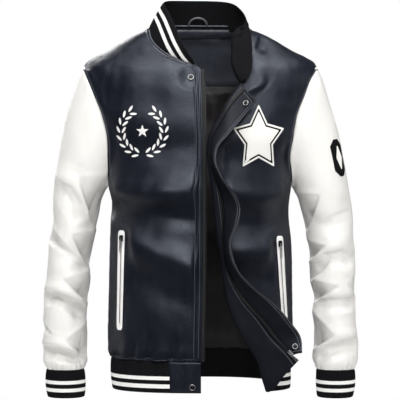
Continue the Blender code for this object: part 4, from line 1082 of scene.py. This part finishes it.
def clad(piece, material):
    """Give a piece one material."""
    piece.data.materials.clear()
    piece.data.materials.append(material)
    return piece


LOOP_SATIN = satin_tape("loop_satin", (0.130, 0.130, 0.140, 1), 0.30)
NECK_SATIN = satin_tape("neck_piping_satin", (0.20, 0.212, 0.245, 1), 0.36)
LOOP_FULLNESS = 0.7

piece = with_modifier(joined("hanger_loop"), "SUBSURF", levels=2, render_levels=2)
with_modifier(piece, "DISPLACE", strength=LOOP_FULLNESS * MM, mid_level=0)
piece.data.shade_smooth()
fit(clad(piece, LOOP_SATIN), "tape", "hanger_loop")

# A navy strip closes the facing to the collar seam, and a satin piping is sewn over it round the neck.
STRIP_ROWS = (2.6, 1.2)
PIPING_ROW = 7.0
STRIP_WALL = 0.7
STRIP_STITCHES = 2.4
collar_inside = collar.points - collar.normals * (RIB_WALL + STRIP_WALL)
upper = [int(np.argmin(np.abs(collar.height - row - collar.v))) for row in (PIPING_ROW,) + STRIP_ROWS]
strip_points, strip_normals, piping_line = [], [], []
for place in neck_facing.u[2:-2]:
    low_point, low_normal = neck_facing.at(place, 2.2)
    near = int(np.argmin(np.linalg.norm(collar_inside[upper[-1]] - low_point, axis=1)))
    piping_line.append(collar_inside[upper[0], near])
    strip_points.append([collar_inside[row, near] for row in upper[1:]] + [low_point + low_normal * 0.8])
    strip_normals.append([-collar.normals[row, near] for row in upper[1:]] + [low_normal])
strip_weave = Weave(np.array(strip_points).transpose(1, 0, 2) * MM,
                    np.array(strip_normals).transpose(1, 0, 2), False)
neck_strip = Surface(strip_weave, 1.4, across_step=3.0, ends=False)
neck_strip.raise_by(0.5 * ramp(neck_strip.edge_distance(), 2) + rumple(neck_strip, 14, 65) * 1.1
                    - 0.7 * hump(neck_strip.edge_distance("t") - STRIP_STITCHES, 0.8))
piece = shell("neck_seam_strip", neck_strip, STRIP_WALL, NAVY_PAINTED_LIGHT)
fit(piece, "navy_cloth")


def ring_quads(rings, sides):
    """Faces between each ring of corners and the next."""
    return [(ring * sides + side, ring * sides + (side + 1) % sides,
             (ring + 1) * sides + (side + 1) % sides, (ring + 1) * sides + side)
            for ring in range(rings - 1) for side in range(sides)]


CORD_SIDES = 8


def cord(name, line, radius, material):
    """Round cord along a line of points in millimetres, with closed ends."""
    line = np.array(line, float)
    line = line[np.append(True, np.linalg.norm(np.diff(line, axis=0), axis=1) > 0.4)]
    fine = np.linspace(0, len(line) - 1, len(line) * 3)
    line = spline(line[:, None, :], fine)[:, 0]
    along = np.gradient(line, axis=0)
    along /= np.linalg.norm(along, axis=1, keepdims=True)
    side = np.cross(along, (0, 0, 1.0))
    side /= np.linalg.norm(side, axis=1, keepdims=True)
    rise = np.cross(side, along)
    turn = np.arange(CORD_SIDES)[None, :, None] * 2 * math.pi / CORD_SIDES
    ring = (np.cos(turn) * side[:, None] + np.sin(turn) * rise[:, None]) * radius
    points = (line[:, None] + ring).reshape(-1, 3) * MM
    caps = [tuple(range(CORD_SIDES))[::-1], tuple(range(len(points) - CORD_SIDES, len(points)))]
    mesh = bpy.data.meshes.new(name)
    mesh.from_pydata(points.tolist(), [], caps + ring_quads(len(line), CORD_SIDES))
    mesh.materials.append(material)
    work = bmesh.new()
    work.from_mesh(mesh)
    bmesh.ops.recalc_face_normals(work, faces=work.faces)
    work.to_mesh(mesh)
    work.free()
    smoothed(mesh, SOFT_EDGE)
    return new_piece(name, mesh)


fit(cord("inner_neck_piping", piping_line, 1.0, NECK_SATIN), "tape")


def beside_seam(panel, seam, distance, lift):
    """Line on a panel at a distance from a seam, lifted off the cloth, and its normals."""
    grid, normals = panel.points.reshape(-1, 3), panel.normals.reshape(-1, 3)
    line, outs = [], []
    for point in seam:
        away = np.linalg.norm(grid - point, axis=1)
        near = (away > 5) & (away < 13)
        out = normals[near].mean(axis=0)
        out /= np.linalg.norm(out)
        onward = grid[near].mean(axis=0) - point
        onward -= out * (onward @ out)
        spot = point + onward / np.linalg.norm(onward) * distance
        close = np.argsort(np.linalg.norm(grid - spot, axis=1))[:3]
        line.append(spot + out * ((grid[close].mean(axis=0) - spot) @ out + lift))
        outs.append(out)
    line = np.array(line)
    for _ in range(2):
        line[1:-1] = (line[:-2] + line[1:-1] * 2 + line[2:]) / 4
    return line, np.array(outs)


# The columns of the collar's seam row that lie along each front, thinned out for a smooth line.
RIGHT_NECKLINE = np.s_[-1, 4:226:6]
LEFT_NECKLINE = np.s_[-1, 806:870:5]
PIPING = 0.75
right_seam = collar.points[RIGHT_NECKLINE]
piping_line, _ = beside_seam(front_right, right_seam, 2 * PIPING, 0.6)
fit(cord("neck_piping_right", piping_line, PIPING, NECK_SATIN), "tape")
left_seam = collar.points[LEFT_NECKLINE] + collar.normals[LEFT_NECKLINE] * 0.9
fit(cord("neck_piping_left", left_seam, PIPING, NECK_SATIN), "tape")

# --- Front zip -------------------------------------------------------------------------------------
# Two black woven tapes, each with gunmetal teeth clamped to one long edge. The slider stays at the foot
# of the left tape, with its pull tab hanging from it. Each tape is caught in its front edge's seam.


def plated_metal(name, colour, roughness):
    """Material of plated zinc: faint casting unevenness, fine rubbing marks and dull patches."""
    material, tree, shader = new_material(name)
    place = object_place(tree)
    cloud = noise_in(tree, place, 420.0, 4.0, 0.6)
    tree.links.new(mix_colours(tree, cloud, darker(colour, 0.62), colour), shader.inputs["Base Color"])
    rough = node_in(tree, "ShaderNodeMapRange")
    sockets(rough, To_Min=roughness - 0.08, To_Max=roughness + 0.12)
    tree.links.new(noise_in(tree, place, 900.0, 3.0, 0.6, (1, 1, 4)), rough.inputs["Value"])
    tree.links.new(rough.outputs[0], shader.inputs["Roughness"])
    relieve(tree, shader, cloud, 0.15, 0.0001)
    sockets(shader, Metallic=1.0)
    return material


NICKEL = plated_metal("nickel_plate", (0.86, 0.86, 0.86, 1), 0.42)
GUNMETAL = plated_metal("gunmetal_plate", (0.060, 0.060, 0.064, 1), 0.42)
TAPE = satin_tape("zip_tape_weave", (0.012, 0.012, 0.014, 1), 0.7)


def tooth_model(name, across, along, thick):
    """One zip tooth: a small block with softened edges."""
    bpy.ops.mesh.primitive_cube_add(size=1, location=(0, 0, 0))
    tooth = bpy.context.object
    tooth.name = name
    edit_whole(tooth)
    bpy.ops.transform.resize(value=(across * MM, along * MM, thick * MM))
    bpy.ops.object.mode_set(mode="OBJECT")
    with_modifier(tooth, "BEVEL", width=min(along, thick) * 0.22 * MM, segments=1, limit_method="NONE")
    return tooth


def copies_at(name, model, places, material):
    """One mesh of many copies of a small model, each at its own frame; the model goes."""
    data = model.data
    corners = np.array([tuple(vertex.co) for vertex in data.vertices])
    faces = [list(face.vertices) for face in data.polygons]
    vertices, polygons = [], []
    for place in places:
        turn = np.array(place.to_3x3())
        start = len(vertices)
        vertices.extend((corners @ turn.T + np.array(place.translation)).tolist())
        polygons.extend([[corner + start for corner in face] for face in faces])
    mesh = bpy.data.meshes.new(name)
    mesh.from_pydata(vertices, [], polygons)
    mesh.update()
    smoothed(mesh, 40)
    bpy.data.objects.remove(model)
    return clad(new_piece(name, mesh), material)


def placed(point, across, out):
    """Frame at a point in millimetres: X across, Z out of the cloth, Y along."""
    out = Vector(out).normalized()
    along = out.cross(Vector(across)).normalized()
    across = along.cross(out).normalized()
    turn = Matrix((across, along, out)).transposed()
    return Matrix.Translation(Vector(point) * MM) @ turn.to_4x4()


def teeth_along(name, surface, u, lift, pitch, size, metal, shift=0.0, margin=4.0):
    """A row of zip teeth down a tape at one distance across it; size is across, along and thick."""
    places = []
    aside = 1 if u < surface.width - 1.5 else -1
    for step in range(int((surface.height - 2 * margin) / pitch)):
        v = margin + (step + shift) * pitch
        point, out = surface.at(u, v)
        beside, _ = surface.at(u + aside, v)
        places.append(placed(point + out * lift, (beside - point) * aside, out))
    return copies_at(name, tooth_model(name + "_tooth", *size), places, metal)


TAPE_WALL = 1.0
TOOTH, TOOTH_PITCH = (3.2, 1.25, 2.3), 2.5
for side in ("right", "left"):
    surface = Surface(cloth_grid("zip_tape_" + side, (TAPE_WALL,), facing=FRONT), 4.0, ends=False)
    piece = shell("zip_tape_" + side + "_weave", surface, TAPE_WALL, TAPE)
    fit(piece, "tape", "zip_tape_" + side)
    teeth = teeth_along("zip_teeth_" + side, surface, surface.width - 0.6, -TAPE_WALL / 2, TOOTH_PITCH, TOOTH,
                        GUNMETAL)
    fit(teeth, "metal")


def zip_fitting(node, metal, softened, body):
    """Finish a slider or a pull tab: the plain solid with softened edges, in its metal."""
    piece = with_modifier(joined(node), "BEVEL", width=softened * MM, segments=2, limit_method="ANGLE",
                          angle_limit=math.radians(35))
    smoothed(piece.data, 50)
    fit(clad(piece, metal), "metal", node, body=body)


zip_fitting("zip_slider", NICKEL, 0.35, "jacket")
zip_fitting("zip_pull", NICKEL, 0.35, "zip_pull")

# --- Pockets ---------------------------------------------------------------------------------------
# A long slanted opening in each front, framed by an off-white welt with a sewn groove all round it, with
# a metal zip down its middle and a slider near the top.

WELT_WHITE = coated_cloth("white_welt_cloth", (0.86, 0.855, 0.84, 1), (0.93, 0.925, 0.91, 1),
                          roughness=0.46, cell_size=800.0, bump=0.3)
PALE_TAPE = satin_tape("pocket_tape_weave", (0.90, 0.895, 0.88, 1), 0.7)
ZIP_METAL = plated_metal("pocket_teeth_plate", (0.10, 0.10, 0.11, 1), 0.4)
WELT_WALL, POCKET_TAPE_WALL = 1.4, 0.6
POCKET_TOOTH, POCKET_TOOTH_PITCH = (1.15, 1.05, 0.9), 2.1


def narrowed(surface, share):
    """Draw a strip in about its middle line; the share is one number or one for each row."""
    middle = (surface.points[:, :1] + surface.points[:, -1:]) / 2
    surface.points = middle + (surface.points - middle) * np.reshape(share, (-1, 1, 1))
    surface.width *= float(np.mean(share))
    return surface


for side in ("right", "left"):
    surface = Surface(cloth_grid("pocket_welt_" + side, (WELT_WALL,), facing=FRONT), 2.2)
    surface.raise_by(0.5 * ramp(surface.edge_distance(), 3) - 0.45 * hump(surface.edge_distance() - 2.6, 0.8)
                     + rumple(surface, 24, 71) * 0.25)
    from_end = np.minimum(surface.v, surface.height - surface.v)
    narrowed(surface, (0.86 - 0.14 * surface.v / surface.height) * (1 - 0.5 * np.exp(-from_end / 2.4)))
    piece = shell("pocket_welt_" + side + "_cloth", surface, WELT_WALL, WELT_WHITE)
    fit(piece, "off_white_cloth", "pocket_welt_" + side)
    surface = Surface(cloth_grid("pocket_zip_" + side, (1.0,), facing=FRONT), 4.0, ends=False)
    surface.raise_by(np.full(surface.points.shape[:2], -0.1))
    narrowed(surface, 0.75)
    piece = shell("pocket_zip_" + side + "_weave", surface, POCKET_TAPE_WALL, PALE_TAPE)
    fit(piece, "tape", "pocket_zip_" + side)
    for row, off_middle, shift in (("_a", -0.4, 0.0), ("_b", 0.4, 0.5)):
        teeth = teeth_along("pocket_teeth_" + side + row, surface, surface.u[-1] / 2 + off_middle, 0.15,
                            POCKET_TOOTH_PITCH, POCKET_TOOTH, ZIP_METAL, shift)
        fit(teeth, "metal")
    zip_fitting("pocket_slider_" + side, GUNMETAL, 0.3, "jacket")
    zip_fitting("pocket_pull_" + side, NICKEL, 0.3, "pocket_pull_" + side)

# --- Snaps -----------------------------------------------------------------------------------------
# Pressed metal snaps: sockets with a rolled rim at the neck and on the hem tab, and studs under the
# storm flap.

# Profiles: a radius and a height for each step, on a snap 11 mm wide.
SOCKET = ((5.2, 0.0), (5.5, 0.5), (5.2, 1.1), (4.6, 1.35), (4.0, 1.1), (3.7, 0.7), (2.2, 0.62), (1.9, 0.95),
          (1.0, 1.1), (0.3, 1.15))
RIM = ((5.5, 0.2), (5.9, 0.8), (5.8, 1.5), (5.2, 1.9), (4.6, 1.7), (4.3, 1.2), (4.3, 0.3), (4.2, 0.25))
STUD = ((5.4, 0.0), (5.6, 0.4), (5.2, 0.8), (3.6, 0.95), (2.5, 1.1), (2.1, 1.9), (2.2, 2.5), (1.7, 2.9),
        (0.4, 3.0))
SNAP_WIDE = 11.0
SNAP_SIDES = 32


def turned_part(name, profile, place, material, scale):
    """Round part raised from a disc: each step lifts the top face and scales it, as on a lathe."""
    bpy.ops.mesh.primitive_circle_add(vertices=SNAP_SIDES, radius=profile[0][0] * scale * MM,
                                      fill_type="NGON", location=(0, 0, 0))
    piece = bpy.context.object
    piece.name = name
    edit_whole(piece)
    for (radius, height), (next_radius, next_height) in zip(profile, profile[1:]):
        bpy.ops.mesh.extrude_region_move(
            TRANSFORM_OT_translate={"value": (0, 0, (next_height - height) * scale * MM)})
        bpy.ops.transform.resize(value=(next_radius / radius, next_radius / radius, 1),
                                 center_override=(0, 0, 0))
    bpy.ops.mesh.select_all(action="SELECT")
    bpy.ops.mesh.normals_make_consistent(inside=False)
    bpy.ops.object.mode_set(mode="OBJECT")
    piece.data.transform(place)
    smoothed(piece.data, 55)
    return clad(piece, material)


def disc_place(node, towards):
    """Frame on the middle of a flat solid's under face, with Z out of it, and the solid's longest side."""
    corners = np.array([tuple(vertex.co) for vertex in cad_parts[node].data.vertices])
    corners = np.unique(np.round(corners, 6), axis=0)
    centre = corners.mean(axis=0)
    _, _, axes = np.linalg.svd(corners - centre, full_matrices=False)
    out = axes[2] * (1 if axes[2] @ np.array(towards) > 0 else -1)
    low = ((corners - centre) @ out).min()
    up = axes[0] * (1 if axes[0][2] > 0 else -1)
    longest = np.ptp((corners - centre) @ axes[0]) / MM
    return placed((centre + out * low) / MM, np.cross(up, out), out), longest


for node, profile in (("snap_neck", SOCKET), ("snap_hem", SOCKET), ("snap_flap_neck", STUD),
                      ("snap_flap_hem", STUD)):
    place, across = disc_place(node, FRONT)
    fit(turned_part(node + "_cup", profile, place, GUNMETAL, across / SNAP_WIDE), "metal", node)
    fit(turned_part(node + "_ring", RIM, place, NICKEL, across / SNAP_WIDE), "metal")

# --- Patches and embroidery ------------------------------------------------------------------------
# A layered felt star on the left chest: off-white over navy over off-white. A small dark badge with a
# raised lozenge on the left sleeve. Both are sewn flat on the cloth. A white satin-stitch sprig wreath is
# worked into the right chest.


def felt(name, deep, light, sheen, gloss):
    """Material of pressed felt: matted short fibres with faint lumps."""
    material, tree, shader = new_material(name)
    place = object_place(tree)
    fibres = noise_in(tree, place, 1900.0, 5.0, 0.7, (1, 1, 0.45))
    lumps = noise_in(tree, place, 260.0, 3.0, 0.5)
    tree.links.new(mix_colours(tree, fibres, deep, light), shader.inputs["Base Color"])
    relieve(tree, shader, math_in(tree, "MULTIPLY_ADD", lumps, 1.2, fibres), 0.6, 0.0004)
    sockets(shader, Roughness=0.9, Sheen_Weight=sheen, Sheen_Roughness=0.5, Specular_IOR_Level=gloss)
    return material


PALE_FELT = felt("off_white_felt", (0.70, 0.69, 0.65, 1), (0.88, 0.87, 0.84, 1), 0.25, 0.5)
DARK_FELT = felt("dark_felt", (0.0026, 0.0027, 0.0034, 1), (0.0056, 0.0058, 0.0070, 1), 0.0, 0.15)


def surface_tree(name):
    """Ray tree of a finished piece."""
    mesh = bpy.data.objects[name].data
    return BVHTree.FromPolygons([vertex.co.copy() for vertex in mesh.vertices],
                                [tuple(face.vertices) for face in mesh.polygons])


RAY_START = 40


def laid_on(name, tree, place, outline, base, top, material, rings=6, edge=0.6):
    """Closed pad that follows the cloth under it, from base to top above it, with a rounded edge.

    The outline is in millimetres on the frame, and all of it can be seen from its middle point.
    """
    outline = np.array(outline, float)
    middle = outline.mean(axis=0)
    towards = -(place.to_3x3() @ Vector((0, 0, 1)))

    def drop(flat, rise):
        start = place @ Vector((flat[0] * MM, flat[1] * MM, RAY_START * MM))
        hit, normal, _, _ = tree.ray_cast(start, towards)
        if hit is None:
            hit, normal, _, _ = tree.find_nearest(place @ Vector((flat[0] * MM, flat[1] * MM, 0)))
        if normal.dot(towards) > 0:
            normal = -normal
        return hit - towards * rise * MM

    count = len(outline)
    levels = [(1.0, base), (1.0, top - edge * 0.5), (1.0 - edge / 60, top)]
    levels += [(1 - step / rings, top) for step in range(1, rings)]
    vertices = [drop(middle + (corner - middle) * shrink, rise) for shrink, rise in levels
                for corner in outline]
    vertices += [drop(middle, top), drop(middle, base)]
    faces = ring_quads(len(levels), count)
    last = (len(levels) - 1) * count
    for step in range(count):
        beside = (step + 1) % count
        faces.append((last + step, last + beside, len(vertices) - 2))
        faces.append((beside, step, len(vertices) - 1))
    mesh = bpy.data.meshes.new(name)
    mesh.from_pydata(vertices, [], faces)
    piece = new_piece(name, mesh)
    edit_whole(piece)
    bpy.ops.mesh.normals_make_consistent(inside=False)
    bpy.ops.object.mode_set(mode="OBJECT")
    smoothed(mesh, 60)
    return clad(piece, material)


STAR_RADIUS, STAR_WAIST, STAR_WIDE, STAR_TALL = 60.0, 0.55, 0.84, 1.06
POINT_CUT = 0.06


def star(radius, waist=STAR_WAIST, wide=STAR_WIDE, tall=STAR_TALL, steps=8):
    """Outline of a five-pointed star with softened points."""
    tips = []
    for step in range(10):
        reach = radius * (1 if step % 2 == 0 else waist)
        angle = math.pi / 2 - math.pi * step / 5
        tips.append(np.array([reach * math.cos(angle) * wide, reach * math.sin(angle) * tall]))
    outline = []
    for index, tip in enumerate(tips):
        before, after = tips[index - 1], tips[(index + 1) % 10]
        outline.append(tip + (before - tip) * POINT_CUT)
        outline.append(tip * (1 - POINT_CUT * 0.35) if index % 2 == 0 else tip)
        outline += [tip + (after - tip) * (POINT_CUT + (1 - 2 * POINT_CUT) * step / steps)
                    for step in range(steps)]
    return outline


chest_tree = surface_tree("front_left_panel")
star_place = placed((107, -80, -206), (1, 0, 0), FRONT)
for name, drawn_in, base, top, material, slot, nodes in (
        ("chest_star_outline", 0, 0.1, 1.0, PALE_FELT, "felt", ("chest_patch",)),
        ("chest_star_gap", 6.5, 1.1, 1.5, DARK_FELT, "badge", ()),
        ("chest_star_top", 12.5, 1.7, 3.2, PALE_FELT, "felt", ())):
    outline = star(STAR_RADIUS - drawn_in)
    fit(laid_on(name, chest_tree, star_place, outline, base, top, material, rings=9), slot, *nodes)


def cut_corners(half_wide, half_tall, cut_in, cut_down, steps=6):
    """Outline of a panel with its four corners cut off."""
    right = [(half_wide - cut_in, half_tall), (half_wide, half_tall - cut_down)]
    right += [(x, -z) for x, z in right[::-1]]
    corners = np.array(right + [(-x, z) for x, z in right[::-1]])
    return [first + (second - first) * step / steps
            for first, second in zip(corners, np.roll(corners, -1, axis=0)) for step in range(steps)]


badge_place, _ = disc_place("sleeve_patch", (1, -1, 0))
sleeve_tree = surface_tree("sleeve_left_cloth")
for name, cut, base, top, material, slot, nodes in (
        ("sleeve_badge_felt", (18.0, 35.0, 11.5, 11.5), 0.1, 1.2, DARK_FELT, "badge", ("sleeve_patch",)),
        ("sleeve_badge_lozenge", (8.5, 22.0, 7.8, 20.5), 1.25, 2.1, PALE_FELT, "felt", ())):
    fit(laid_on(name, sleeve_tree, badge_place, cut_corners(*cut), base, top, material), slot, *nodes)

THREAD = satin_tape("white_satin_thread", (0.90, 0.90, 0.89, 1), 0.45, deep=(0.62, 0.62, 0.61, 1),
                    scale=900.0, distortion=1.2, detail=2.0, bump=0.6)
SPRIG_WIDE, SPRIG_TALL = 40.0, 42.0
LEAF_LONG, LEAF_WIDE, LEAF_SPREAD = 13.5, 4.6, 0.13
embroidery_tree = surface_tree("front_right_panel")
sprig_place = placed((-107, -80, -192), (1, 0, 0), FRONT)


def leaf(middle, angle, length, width):
    """Outline of a pointed leaf about its middle."""
    outline = []
    for step in range(16):
        turn = 2 * math.pi * step / 16
        x = math.cos(turn) * length / 2
        y = math.sin(turn) * abs(math.sin(turn)) ** 0.35 * width / 2
        outline.append((middle[0] + x * math.cos(angle) - y * math.sin(angle),
                        middle[1] + x * math.sin(angle) + y * math.cos(angle)))
    return outline


outline = star(12.0, waist=0.42, wide=1, tall=1, steps=3)
parts = [laid_on("chest_sprig_star", embroidery_tree, sprig_place, outline, 0.1, 0.9, THREAD, rings=2)]
for side in (-1, 1):
    for step in range(8):
        angle = math.radians(-72 + step * 19)
        for spread in (-1, 1):
            reach = 1 + spread * LEAF_SPREAD
            middle = (side * SPRIG_WIDE * reach * math.cos(angle), SPRIG_TALL * reach * math.sin(angle))
            lie = angle + math.pi / 2 - spread * 0.5
            if side < 0:
                lie = math.pi - lie
            outline = leaf(middle, lie, LEAF_LONG, LEAF_WIDE)
            parts.append(laid_on("leaf", embroidery_tree, sprig_place, outline, 0.1, 0.8, THREAD, rings=2,
                                 edge=0.4))
bpy.ops.object.select_all(action="DESELECT")
for part in parts:
    part.select_set(True)
bpy.context.view_layer.objects.active = parts[0]
bpy.ops.object.join()
piece = bpy.context.object
piece.name = "chest_sprig_embroidery"
fit(piece, "felt")

# --- Topstitching ----------------------------------------------------------------------------------
# Polyester thread in rows beside the edges and seams: two rows down the right front edge, one beside
# the neckline, side and hem seams, and finer ones along the storm flap, the facing and the neck strip.

STITCH_PITCH = 3.4
STITCH_SHARE = 0.78
STITCH_LONG = 2.7
NECK_STITCH_SPAN = 2.6


def stitch_frames(surface, line, pitch=STITCH_PITCH, lift=0.15):
    """Frames of the stitches along a line of (u, v) places on a surface."""
    line = np.array(line, float)
    lengths = line_lengths(line)
    frames = []
    for step in range(int(lengths[-1] / pitch)):
        (first, out), (second, _) = [
            surface.at(np.interp(place, lengths, line[:, 0]), np.interp(place, lengths, line[:, 1]))
            for place in (step * pitch, (step + STITCH_SHARE) * pitch)]
        along = second - first
        frames.append(placed((first + second) / 2 + out * lift, np.cross(along, out), out))
    return frames


def stitch_model(radius):
    """One stitch: a short thread with rounded ends, lying along Y."""
    bpy.ops.mesh.primitive_uv_sphere_add(segments=6, ring_count=4, radius=radius * MM, location=(0, 0, 0))
    stitch = bpy.context.object
    edit_whole(stitch)
    bpy.ops.transform.resize(value=(1, STITCH_LONG / (2 * radius), 0.8))
    bpy.ops.object.mode_set(mode="OBJECT")
    return stitch


SEAM_INSET = 4.5
seam_rows = []
for inset in EDGE_ROWS:
    edge = front_right.width - inset
    seam_rows += stitch_frames(front_right, [(edge, 5), (edge, front_right.height - 4)])
for surface, side_seam in ((front_right, SEAM_INSET), (front_left, front_left.width - SEAM_INSET),
                           (back, None)):
    deep = surface.height - SEAM_INSET
    if side_seam:
        seam_rows += stitch_frames(surface, [(side_seam, 6), (side_seam, deep)])
    seam_rows += stitch_frames(surface, [(6, deep), (surface.width - 6, deep)])

neck_rows = []
line, outs = beside_seam(front_right, right_seam, 6.8, 0.35)
reach = line_lengths(line)
for place in np.arange(1, reach[-1] - 3, STITCH_PITCH):
    first, second, out = [np.array([np.interp(at, reach, field[:, axis]) for axis in range(3)])
                          for at, field in ((place, line),
                                            (place + NECK_STITCH_SPAN, line),
                                            (place + NECK_STITCH_SPAN / 2, outs))]
    neck_rows.append(placed((first + second) / 2, np.cross(second - first, out), out))
neck_rows += stitch_frames(neck_strip, [(4, STRIP_STITCHES), (neck_strip.width - 4, STRIP_STITCHES)])

flap_edge, flap_row, flap_foot = storm_flap.width - 1.6, storm_flap.width - 6, storm_flap.height - 6
edge_rows = stitch_frames(storm_flap, [(flap_edge, 2), (flap_edge, storm_flap.height - 2)], pitch=3.0)
edge_rows += stitch_frames(storm_flap, [(4, 6), (flap_row, 6), (flap_row, flap_foot), (4, flap_foot)])
edge = facing_left.width - 3
edge_rows += stitch_frames(facing_left, [(edge, 4), (edge, facing_left.height - 4)])

# The neck and edge threads are partly their own pale colour and partly painted highlight: they are painted
# lighter to stand in for the light caught by the stitched neckline, storm flap and facing edges.
for name, radius, rows, thread, colour in (
        ("body_topstitching", 0.5, seam_rows, "navy_thread", (0.150, 0.165, 0.205, 1)),
        ("neck_topstitching", 0.45, neck_rows, "grey_thread", (0.46, 0.475, 0.52, 1)),
        ("edge_topstitching", 0.42, edge_rows, "slate_thread_painted_highlight", (0.215, 0.228, 0.265, 1))):
    fit(copies_at(name, stitch_model(radius), rows, satin_tape(thread, colour, 0.5)), "navy_cloth")

# --- Setting ---------------------------------------------------------------------------------------
# A pale floor, a white surround, and large soft lights. The camera stands 4 m in front, with a view
# 0.75 m wide at the jacket's front.

FLOOR_LEVEL = -1.45
bpy.ops.mesh.primitive_circle_add(vertices=96, radius=6, fill_type="NGON", location=(0, 0, FLOOR_LEVEL))
floor = bpy.context.object
floor.name = "floor"
pale, _, shader = new_material("pale_floor")
sockets(shader, Base_Color=(0.9, 0.9, 0.9, 1), Roughness=0.9, Emission_Color=(1, 1, 1, 1),
        Emission_Strength=0.08)
floor.data.materials.append(pale)
floor.visible_glossy = False

world = bpy.data.worlds.new("white_surround")
bpy.context.scene.world = world
world.use_nodes = True
tree = world.node_tree
dim = tree.nodes["Background"]
sockets(dim, Color=(1.0, 0.985, 0.965, 1), Strength=0.52)
bright = sockets(node_in(tree, "ShaderNodeBackground"), Color=(1, 1, 1, 1), Strength=1.0)
in_gloss = sockets(node_in(tree, "ShaderNodeBackground"), Color=(0.86, 0.90, 1.0, 1), Strength=0.08)
ray = node_in(tree, "ShaderNodeLightPath").outputs
shown = dim.outputs[0]
for chooser, other in (("Is Glossy Ray", in_gloss), ("Is Camera Ray", bright)):
    chosen = node_in(tree, "ShaderNodeMixShader")
    tree.links.new(ray[chooser], chosen.inputs[0])
    tree.links.new(shown, chosen.inputs[1])
    tree.links.new(other.outputs[0], chosen.inputs[2])
    shown = chosen.outputs[0]
tree.links.new(shown, tree.nodes["World Output"].inputs["Surface"])
bpy.context.scene.view_settings.view_transform = "Standard"

AIM = Vector((-0.001, 0, -0.3208))


def softbox(name, place, width, height, power, glossy=True):
    """Large area light that faces the jacket; one that isn't glossy leaves no highlight on it."""
    data = bpy.data.lights.new(name, "AREA")
    data.shape = "RECTANGLE"
    data.size, data.size_y, data.energy = width, height, power
    lamp = bpy.data.objects.new(name, data)
    lamp.location = place
    lamp.visible_glossy = glossy
    lamp.rotation_euler = (AIM - Vector(place)).to_track_quat("-Z", "Y").to_euler()
    bpy.context.collection.objects.link(lamp)


softbox("key_light", (-1.4, -2.4, 2.2), 0.7, 0.7, 16, glossy=False)
softbox("high_light", (0.3, -2.8, 1.6), 2.0, 1.0, 66)
softbox("side_light", (2.9, -0.6, 0.8), 0.4, 1.6, 5)
softbox("top_light", (0.2, -0.5, 2.5), 2.8, 1.2, 62)
softbox("back_light", (-1.2, 2.8, 0.9), 2.0, 2.0, 50)

CAMERA_RISE = math.radians(1.3)
CAMERA_AWAY, SIZE_TRUE_AT, SEEN_WIDE, SENSOR = 4.0, 3.972, 0.75, 36
camera_data = bpy.data.cameras.new("camera")
camera_data.sensor_width = SENSOR
camera_data.lens = SENSOR * SIZE_TRUE_AT / SEEN_WIDE
camera = bpy.data.objects.new("camera", camera_data)
camera.location = AIM + CAMERA_AWAY * Vector((0, -math.cos(CAMERA_RISE), math.sin(CAMERA_RISE)))
camera.rotation_euler = (AIM - camera.location).to_track_quat("-Z", "Y").to_euler()
bpy.context.collection.objects.link(camera)
bpy.context.scene.camera = camera
